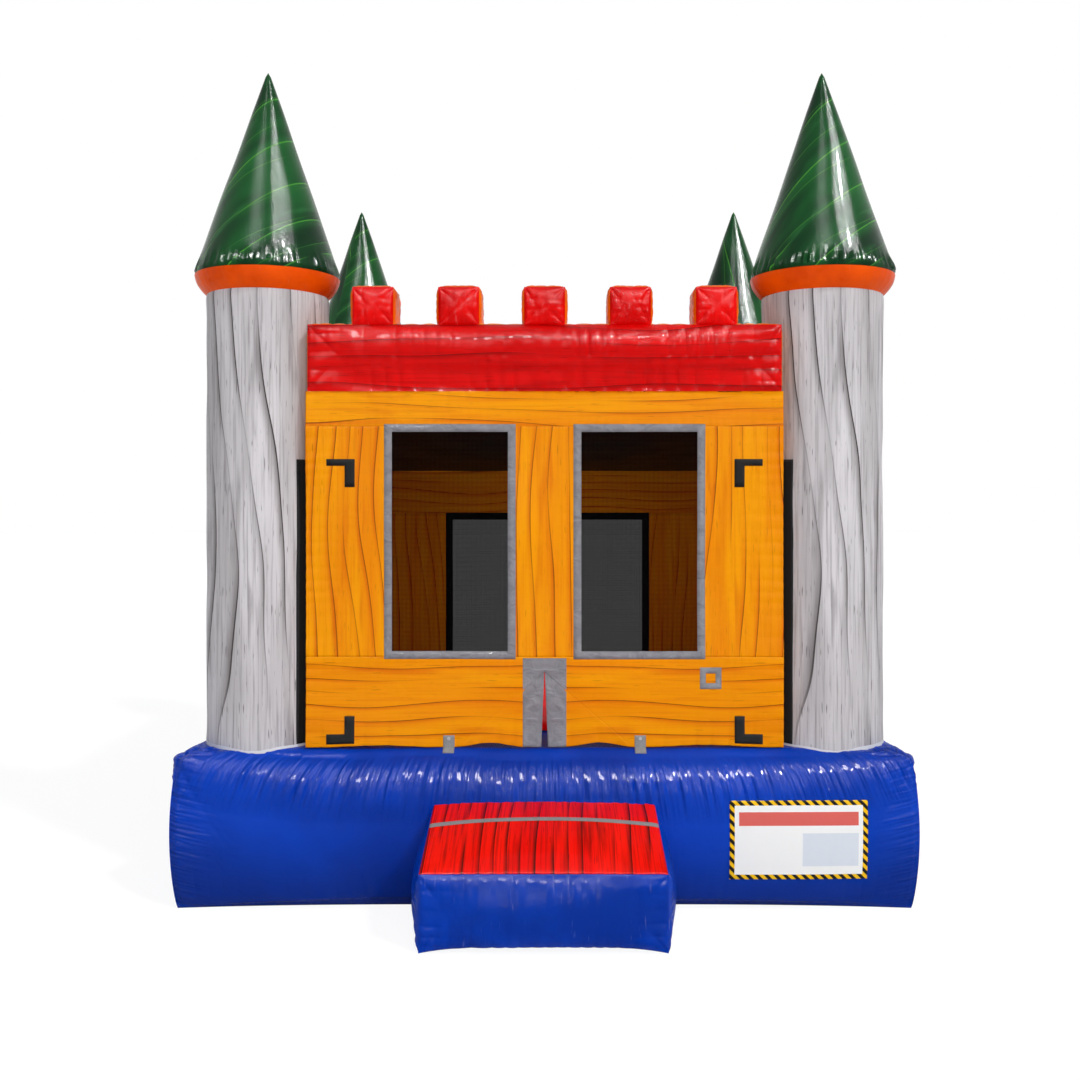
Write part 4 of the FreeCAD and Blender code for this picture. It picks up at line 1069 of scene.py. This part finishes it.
def fill(cloth, left, right, heights, count, surface=on_front, out=0.0, kind=0, bend=None,
         flip=False):
    """Rows at set heights from left(z) to right(z). The cloth place is the point's own (x, z)."""
    z = np.asarray(heights, float)[None, :]
    t = spread(0, 1, count)[:, None]
    x0 = left(z) if callable(left) else left + 0 * z
    x1 = right(z) if callable(right) else right + 0 * z
    X, Z = x0 + (x1 - x0) * t, z + 0 * t
    P = surface(X, Z, out)
    if bend is not None:
        P = P + bend(X, Z)
    return cloth.lay(P, stack(X, Z), kind=kind, flip=flip)


def ring_lines(low, high, width, inner):
    """Grid lines across a frame: two for each bar and some between."""
    middle = spread(low + width, high - width, inner)[1:-1]
    return join(spread(low, low + width, 3), middle, spread(high - width, high, 3))


def frame_piece(cloth, x0, x1, z0, z1, width, surface=on_front, out=0.0, inner=60):
    """A rectangular ring of tape: a grid whose middle is left out."""
    xs, zs = ring_lines(x0, x1, width, inner), ring_lines(z0, z1, width, inner)
    X, Z = grid(xs, zs)
    x, z = grid((xs[1:] + xs[:-1]) / 2, (zs[1:] + zs[:-1]) / 2)
    inside = (x > x0 + width) & (x < x1 - width) & (z > z0 + width) & (z < z1 - width)
    cloth.lay(surface(X, Z, out), stack(X, Z), keep=~inside)


def slit_x(z):
    """The slit's edge: 18 mm from the middle at the foot, 2 mm at the top."""
    return 0.018 - 0.016 * np.clip((z - sheet_foot) / (slit_top - sheet_foot), 0, 1)


def grey_under(cloth):
    """Gives the faces under the tape at the slit's head the tape's finish, so that the narrow gap
    at the fold line shows no yellow."""
    x, z = cloth.places[-1].mean(axis=1).T
    cloth.kinds[-1] = np.where((x < 0.110) & (z > 1.160) & (z < 1.330), 1, 0)


# %% Bands and uprights
sheet_kind = dict(thick=0.003, side=-1.0, closed=False)
tape_kind = sheet_kind | dict(thick=0.002)
even_kind = sheet_kind | dict(side=0.0)
tape_gap, tape_reach = 0.0055, 0.119
header = Cloth()
fill(header, -sheet_half, sheet_half, spread(header_seam, beam_foot, 24), 320)
obj = sew("header_band_cloth", header, yellow_level, "front_header_band", "yellow_vinyl", **sheet_kind)
uprights = Cloth()
tall = spread(lower_seam, header_seam, 110)
fill(uprights, -0.164, 0.164, tall, 40)
fill(uprights, 0.876, sheet_half, tall, 60)
fill(uprights, -sheet_half, -0.876, tall, 60)
obj = sew("uprights_cloth", uprights, yellow_tall, "front_uprights", "yellow_vinyl", **sheet_kind)
for name, sign in (("left", -1), ("right", 1)):
    mirror = mirrored(sign)
    door = dict(body=name + "_door_flap")
    band = Cloth()
    heights = join(spread(sheet_foot, slit_top, 46), spread(slit_top, lower_seam, 10)[1:])
    fill(band, fold_x, sheet_half, heights, 150, mirror, flip=sign < 0)
    grey_under(band)
    band_finishes = [yellow_level, tape_grey]
    obj = sew("lower_band_cloth_" + name, band, band_finishes, "front_lower_" + name,
              "yellow_vinyl", **sheet_kind)
    flap = Cloth()
    heights = spread(sheet_foot, slit_top - 0.004, 40)
    fill(flap, slit_x, lambda z: np.maximum(fold_x(z), slit_x(z)), heights, 44, mirror, flip=sign < 0)
    grey_under(flap)
    obj = sew("door_cloth_" + name, flap, band_finishes, "door_flap_" + name,
              "yellow_vinyl", **door, **sheet_kind)
    trim = Cloth()
    fill(trim, slit_x, lambda z: np.clip(fold_x(z) - tape_gap, slit_x(z), tape_reach), heights, 14,
         mirror, out=0.002, flip=sign < 0)
    obj = sew("door_trim_tape_" + name, trim, tape_grey, "door_trim_" + name, "grey_tape",
              **door, **tape_kind)

# %% Tape, nets and hook pieces
window_foot, window_head = 1.331, 2.620
windows = ((-0.881, -0.159), (0.159, 0.881))
tapes = Cloth()
for x0, x1 in windows:
    frame_piece(tapes, x0, x1, window_foot, window_head, 0.043, out=0.002, inner=90)
frame_piece(tapes, 0.852, 0.970, 1.167, 1.285, 0.032, out=0.0022, inner=10)
obj = sew("window_tapes", tapes, tape_grey, "front_tape_frames", "grey_tape", **tape_kind)
crown = Cloth()
heights = join(spread(1.157, slit_top, 20), spread(slit_top, 1.336, 12)[1:])


def crown_x(z):
    """The head tape's inner edge: a narrow gap beside the fold line, none above the slit."""
    return np.minimum(fold_x(z) + tape_gap * (z < slit_top + 0.001), tape_reach)


for sign in (-1, 1):
    fill(crown, crown_x, tape_reach, heights, 22, mirrored(sign), out=0.002, flip=sign < 0)
obj = sew("slit_head_tape", crown, tape_grey, "entrance_trim", "grey_tape", **tape_kind)
nets = Cloth()


def slack(X, Z):
    """The net hangs a little slack, most in the middle of its window."""
    a = np.clip(np.minimum(np.abs(X) - 0.18, 0.86 - np.abs(X)) / 0.2, 0, 1)
    b = np.clip(np.minimum(Z - 1.36, 2.59 - Z) / 0.2, 0, 1)
    depth = (blotch(X, Z, 0.25, 61) * 0.016 + 0.004) * a * b
    return stack(0 * X, depth, 0 * X)


for x0, x1 in windows:
    fill(nets, x0, x1, spread(window_foot, window_head, 80), 60, out=-0.004, bend=slack)
obj = sew("window_net_cloth", nets, net_black, "front_window_nets", "black_net", closed=False)

hooks = Cloth()
for sign in (-1, 1):
    for z0, arm in ((2.274, "top"), (0.864, "low")):
        lines = np.array([0, 0.018, 0.037, 0.055, 0.09, 0.122, 0.154])
        mid = (lines[1:] + lines[:-1]) / 2
        level = mid > 0.099 if arm == "top" else mid < 0.055
        keep = (mid[:, None] < 0.055) | level[None, :]
        X, Z = grid(1.042 + lines, z0 + (lines if arm == "low" else 0.154 - lines[::-1]))
        hooks.lay(on_front(sign * X, Z, 0.0025), stack(X, Z), keep=keep, flip=sign < 0)
obj = sew("hook_angles", hooks, hook_black, "hook_corners", "black_hook_loop", **sheet_kind)
strips = Cloth()
for sign, corner in ((-1, "front_left"), (1, "front_right")):
    x, y = corners[corner]
    angles = spread(math.radians(215.6), math.radians(229.5), 7)
    angles = angles if sign > 0 else math.pi * 3 - angles
    heights = spread(0.857, 2.428, 90)
    around, up = grid(angles, heights)
    turned = np.mod(around, math.tau)
    turned = np.where(turned < math.pi / 2, turned + math.tau, turned)
    radius = column_radius + column_ease[corner](turned, up) + 0.003
    P = stack(x + radius * np.cos(around), y + radius * np.sin(around), up)
    strips.lay(P, stack(around * column_radius, up), flip=sign < 0)
obj = sew("column_strips", strips, hook_black, "hook_strips", "black_hook_loop", thick=0.002, side=-1.0)
returns = Cloth()
for sign in (-1, 1):
    Y, Z = grid(spread(-1.880, -1.784, 8), spread(0.848, 2.797, 100))
    ease = front_ease(sign * sheet_half + 0 * Y, Z) * ((Y + 1.784) / -0.096)
    P = stack(sign * (sheet_half - 0.0015), Y - ease, Z)
    returns.lay(P, stack(Y, Z), flip=sign < 0)
obj = sew("return_cloth", returns, yellow_tall, "front_side_returns", "yellow_vinyl", **even_kind)

# %% [markdown]
# The two hold-down tabs are short webbing straps from the sheet's foot over the deck's shoulder,
# so each one follows the sheet first and then the base's own skin.

# %% Hold-down tabs
front_skin = skins[0]
tabs = Cloth()
for sign in (-1, 1):
    xs = sign * 0.525 + spread(-0.031, 0.031, 7)
    sheet_part = [[(x, -1.8845, z) for z in (0.912, 0.895, 0.878, 0.862)] for x in xs]
    place = np.array([np.argmin(np.abs(front_skin[:, 66, 0] - x)) for x in xs])
    rows = np.arange(wall_rows + 22, wall_rows + 13, -1)
    normal = outward(front_skin)
    draped = front_skin[place][:, rows] + normal[place][:, rows] * 0.004
    draped[..., 0] = xs[:, None]
    draped[..., 1] = np.minimum(draped[..., 1], -1.8845)
    P = np.concatenate([np.array(sheet_part), draped], axis=1)
    run = np.concatenate([[0], np.cumsum(np.linalg.norm(np.diff(P[3], axis=0), axis=1))])
    tabs.lay(P, stack(xs[:, None], -run[None, :]))
obj = sew("tab_straps", tabs, strap_grey, "hold_down_tabs", "grey_webbing",
          **(even_kind | dict(thick=0.0015)))
print("Front sheet made")

# %% [markdown]
# ## Inside: walls, roof and floor
# Three walls have the same cut: a net window with a black border, yellow sides with upright
# grain and a level-grained band above. The black roof sheet slopes down to the rear, so from the
# front its underside shows as a dark band over the rear wall.

# %% Three net walls
wall_half, window_half, window_top = 1.306, 0.851, 2.088


def wall_place(turn):
    """Points of a wall from its own (x, z): the rear wall for turn 0, then a quarter turn each."""

    def surface(X, Z, out=0.0):
        ease = (blotch(X + 5 * turn, Z, 0.45, 70) - 0.5) * 0.024
        ease = ease + gathers(X, 0.07, 71 + turn) * np.exp(-np.abs(Z - window_top) / 0.04) * 0.005
        hold = np.clip((wall_half + 0.02 - np.abs(X)) / 0.10, 0, 1) * np.clip((2.82 - Z) / 0.1, 0, 1)
        Y = 1.4015 + out + ease * hold
        return stack((X, -Y, -X, Y)[turn], (Y, X, -Y, -X)[turn], Z)

    return surface


borders = Cloth()
for name, turn in (("rear", 0), ("left", 1), ("right", 3)):
    place = wall_place(turn)
    panels = Cloth()
    for x0, x1 in ((window_half - 0.005, wall_half), (-wall_half, -window_half + 0.005)):
        fill(panels, x0, x1, spread(sheet_foot, window_top - 0.005, 60), 24, place, kind=0)
    fill(panels, -wall_half, wall_half, spread(window_top - 0.005, beam_foot, 36), 110, place, kind=1)
    obj = sew(name + "_wall_cloth", panels, [yellow_tall, yellow_level], name + "_wall_panels",
              "yellow_vinyl", **even_kind)
    net = Cloth()
    fill(net, -window_half, window_half, spread(sheet_foot, window_top, 50), 70, place, out=-0.0035)
    obj = sew(name + "_net_cloth", net, net_black, name + "_wall_net", "black_net", closed=False)
    frame_piece(borders, -window_half, window_half, sheet_foot, window_top, 0.059, place, -0.0055, 50)
obj = sew("window_borders", borders, black, "wall_borders", "black_vinyl",
          **(even_kind | dict(thick=0.002)))

# %% Roof and bounce floor
roof = Cloth()
X, Y = grid(spread(-1.40, 1.40, 120), join(spread(-1.879, -axis, 14), spread(-axis, 1.396, 110)[1:]))
fall = np.clip((Y + 1.59) / 2.99, 0, 1)
sag = np.sin(math.pi * fall) * np.cos(X / 1.4 * math.pi / 2) * 0.05
Z = 2.7985 - 0.362 * fall - sag + (blotch(X, Y, 0.3, 80) - 0.5) * 0.02 * np.sin(math.pi * fall)
Z = Z + gathers(X, 0.08, 81) * (np.exp(-np.abs(Y - 1.396) / 0.08)) * 0.006
mid_x, mid_y = (X[1:, 1:] + X[:-1, :-1]) / 2, (Y[1:, 1:] + Y[:-1, :-1]) / 2
clear = np.hypot(np.abs(mid_x) - axis, np.abs(mid_y) - axis) > 0.325
clear &= (mid_y > -1.60) | (np.abs(mid_x) < wall_half)
roof.lay(stack(X, Y, Z), stack(X, Y), keep=clear)
obj = sew("roof_cloth", roof, black, "roof_cover", "black_vinyl", **even_kind)
floor_cloth = Cloth()
X, Y = grid(spread(-1.39, 1.39, 7 * 24 + 1), spread(-1.433, 1.39, 120))
lane = np.abs(np.sin(math.pi * (X + 1.37) / 2.74 * 7)) ** 0.8 * np.clip((1.37 - np.abs(X)) / 0.02, 0, 1)
ends = np.clip((1.39 - np.abs(Y + 0.02)) / 0.08, 0, 1) ** 0.5
Z = 0.849 + 0.030 * lane * ends + gathers(Y, 0.06, 84) * 0.004 * (1 - lane) * ends
floor_cloth.lay(stack(X, Y, Z), stack(X, Y))
obj = sew("bounce_floor_cloth", floor_cloth, red, "bounce_floor", "red_vinyl", **sheet_kind)

# %% [markdown]
# ## Entry step
# The step is a wedge-shaped cushion that leans on the base. Its blue body crowns on every side.
# A red sheet with planks printed down the slope covers its top, and a webbing strap crosses it.

# %% Step body, top and strap
f, r = 0.61, 0.59
y0, y1 = -2.590, -1.965
z0, z1 = 0.380, 0.598


def settle(cloth, low_y):
    """Lifts and tucks the foot of the front panel between its corners, as air does."""
    for P in cloth.points:
        near = np.exp(-P[:, 2] / 0.035) * np.exp(-np.abs(P[:, 1] - low_y) / 0.06)
        middle = np.clip(1 - (P[:, 0] / f) ** 4, 0, 1)
        P[:, 2] += 0.020 * near * middle
        P[:, 1] += 0.030 * near * middle


step = Cloth()
top_quad = [(-f, y0, z0), (f, y0, z0), (r, y1, z1), (-r, y1, z1)]
gather_kind = dict(gather=0.009, spacing=0.07, reach=0.035, star=0.022)
top_kind = dict(gather=0.004, spacing=0.07, reach=0.03, star=0.010, power=2.4, crest=-0.35)
puff(step, [(-f, y0, 0), (f, y0, 0), (f, y0, z0), (-f, y0, z0)], 0.055, (150, 56), 90, **gather_kind)
puff(step, [(f, y0, 0), (r, y1, 0), (r, y1, z1), (f, y0, z0)], 0.070, (76, 56), 91, **gather_kind)
puff(step, [(-r, y1, 0), (-f, y0, 0), (-f, y0, z0), (-r, y1, z1)], 0.070, (76, 56), 92, **gather_kind)
puff(step, [(r, y1, 0), (-r, y1, 0), (-r, y1, z1), (r, y1, z1)], 0.0, (150, 56), 93, gather=0.0, star=0.0)
puff(step, top_quad, 0.048, (150, 76), 94, **top_kind)
puff(step, [(-r, y1, 0), (r, y1, 0), (f, y0, 0), (-f, y0, 0)], 0.0, (150, 76), 95, gather=0.0, star=0.0)
settle(step, y0)
obj = sew("step_body", step, blue, "entry_step", "blue_vinyl", crease=45)
top = Cloth()
puff(top, top_quad, 0.048, (150, 76), 94, lift=0.0045, part=(-0.995, 0.995, -0.99, 0.995), **top_kind)
obj = sew("step_top_cloth", top, step_red, "step_top", "red_vinyl", **sheet_kind)
strap = Cloth()
puff(strap, top_quad, 0.048, (120, 7), 94, lift=0.0075, part=(-0.992, 0.992, 0.12, 0.215), **top_kind)
obj = sew("step_grip_strap", strap, strap_grey, "step_strap", "grey_webbing", **tape_kind)

# %% [markdown]
# ## Small pieces on the base's walls
# The board, patches and zip tape are welded flat to the base, so they take their shape from its
# skin. A helper reads the skin's reach at any place on a wall.


# %% Reading the base's skin
def wall_skin(number, S, Z, out):
    """Points on wall number (0 front, 1 right, 2 rear, 3 left) at (along, height)."""
    skin = skins[number]
    lines = skin[:, 10, 0]
    reach = np.empty(S.shape)
    for i in range(S.shape[0]):
        k = np.clip(np.searchsorted(lines, S[i, 0]), 1, len(lines) - 1)
        t = (S[i, 0] - lines[k - 1]) / (lines[k] - lines[k - 1])
        one = np.interp(Z[i], skin[k - 1, :wall_rows, 2], -skin[k - 1, :wall_rows, 1])
        two = np.interp(Z[i], skin[k, :wall_rows, 2], -skin[k, :wall_rows, 1])
        reach[i] = one * (1 - t) + two * t + out
    X, Y = ((S, -reach), (reach, S), (-S, reach), (-reach, -S))[number]
    return stack(X, Y, Z)


def welded(cloth, number, s0, s1, z0, z1, count, out, centred=False):
    """A flat patch on a wall. A centred one counts its cloth places from its middle."""
    S, Z = grid(spread(s0, s1, count[0]), spread(z0, z1, count[1]))
    UV = stack(S - (s0 + s1) / 2, Z - (z0 + z1) / 2) if centred else stack(S, Z)
    cloth.lay(wall_skin(number, S, Z, out), UV)


patch_kind = sheet_kind | dict(thick=0.0015, side=1.0)
board = Cloth()
welded(board, 0, 0.9895, 1.7305, 0.1735, 0.5985, (90, 60), 0.0025, centred=True)
board_finish = board_print("board_print", 0.741, 0.425)
obj = sew("board_sheet", board, board_finish, "info_board", "white_board", **patch_kind)
patches = Cloth()
for number in (1, 3):
    for s in (-1.5, 1.5):
        welded(patches, number, s - 0.075, s + 0.075, 0.125, 0.275, (16, 16), 0.003)
obj = sew("anchor_patch_cloth", patches, blue, "anchor_patches", "blue_vinyl",
          **(patch_kind | dict(thick=0.002)))

# %% Blower sleeve, its strap, zip tape and cover
sleeve = Cloth()
sleeve_x, sleeve_z, sleeve_radius = 1.0, 0.19, 0.14
round_places = spread(0, math.tau, 97)[:, None] * sleeve_radius
angles = spread(0, math.tau, 97)[:-1]


def ring_round(R, ys):
    """Points at radius R(angle, y) round the sleeve's axis, which runs along y."""
    x, z = R * np.cos(angles)[:, None], R * np.sin(angles)[:, None]
    return stack(sleeve_x + x, ys[None, :], sleeve_z + z)


ys = spread(1.985, 2.447, 50)
t = (ys - ys[0]) / (ys[-1] - ys[0])
tie = np.exp(-((ys - 2.378) / 0.03) ** 2)
pull = gathers(angles[:, None] * sleeve_radius, 0.045, 97)
pull = pull * (0.010 * tie + 0.006 * np.exp(-t / 0.15))[None, :]
loose = 1 - tie[None, :]
R = 0.1405 + pull * loose + 0.004 * np.sin(math.pi * t)[None, :] * loose
ring = ring_round(R, ys)
ring[..., 2] = np.maximum(ring[..., 2], 0.004)
sleeve.lay(ring, stack(round_places, ys[None, :]), around=True)
obj = sew("blower_sleeve_cloth", sleeve, blue, "inlet_sleeve", "blue_vinyl", thick=0.003, side=-1.0)
band = Cloth()
ys = spread(2.359, 2.397, 5)
band.lay(ring_round(0.1435, ys), stack(ys[None, :], round_places), around=True)
obj = sew("sleeve_tie", band, strap_grey, "sleeve_strap", "grey_webbing", thick=0.0015, side=0.0)
zipper = Cloth()
welded(zipper, 2, 0.620, 1.180, 0.383, 0.427, (60, 8), 0.002)
obj = sew("zip_tape_cloth", zipper, black, "zip_tape", "black_vinyl", **patch_kind)
cover = Cloth()
t = spread(0, 1, 26)
hang_y = 2.0125 + 0.0235 * np.clip(t / 0.22, 0, 1) ** 0.6
hang_z = 0.4425 - 0.1165 * np.clip((t - 0.04) / 0.96, 0, 1) ** 1.15
X = np.broadcast_to(spread(-1.21, -0.59, 60)[:, None], (60, 26))
slope = (X + 0.9) * -math.tan(math.radians(0.99955))
wave = np.sin(X * 31) * 0.0015 + (blotch(X, t[None, :] * 0.12, 0.1, 99) - 0.5) * 0.003
wave = wave * np.clip(t / 0.4, 0, 1)[None, :]
hang = hang_z[None, :]
cover.lay(stack(X, hang_y[None, :] + slope + wave, hang), stack(X, hang))
obj = sew("zip_cover_cloth", cover, blue, "zip_cover", "blue_vinyl", body="deflation_cover",
          **(even_kind | dict(thick=0.0025)))

# %% [markdown]
# ## Pieces kept from the solid model
# Rings, slider, snaps, loops and the webs and flap inside the base are already the right shape,
# so only their finishes change. Those finishes read the object's own coordinates.

# %% Finishes of the kept pieces
inner_blue = Finish("inner_blue", 0.4, 0.1)
place = inner_blue.node("ShaderNodeTexCoord", None, out=3)
cloud = inner_blue.node("ShaderNodeTexNoise", None, ("Vector", place), ("Scale", 3.0))
inner_blue.paint("Base Color", inner_blue.blend(cloud, srgb(2, 44, 140), srgb(4, 58, 170)))
loop_grey = Finish("loop_grey", 0.8, 0.0)
place = loop_grey.node("ShaderNodeTexCoord", None, out=3)
along = loop_grey.node("ShaderNodeSeparateXYZ", None, (0, place), out=1)
ribs = (along * 900.0).math("SINE") * 0.5 + 0.5
loop_grey.paint("Base Color", loop_grey.blend(ribs, srgb(90, 88, 88), srgb(140, 136, 136)))
loop_grey.bump(ribs, 0.0006)
finish_of = {
    "anchor_loops": loop_grey.mat, "tab_snaps": steel, "zip_slider": steel,
    "base_baffles": inner_blue.mat, "inlet_check_flap": inner_blue.mat,
}
finish_of |= {"d_ring_" + corner: steel for corner in corners}
for node, finish in finish_of.items():
    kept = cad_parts[node]
    if kept.material_slots:
        kept.material_slots[0].material = finish
    else:
        kept.data.materials.append(finish)

# %% Sizes and finish
{"cad": [list(c) for c in cad_box], "visual": [list(c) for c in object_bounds()]}
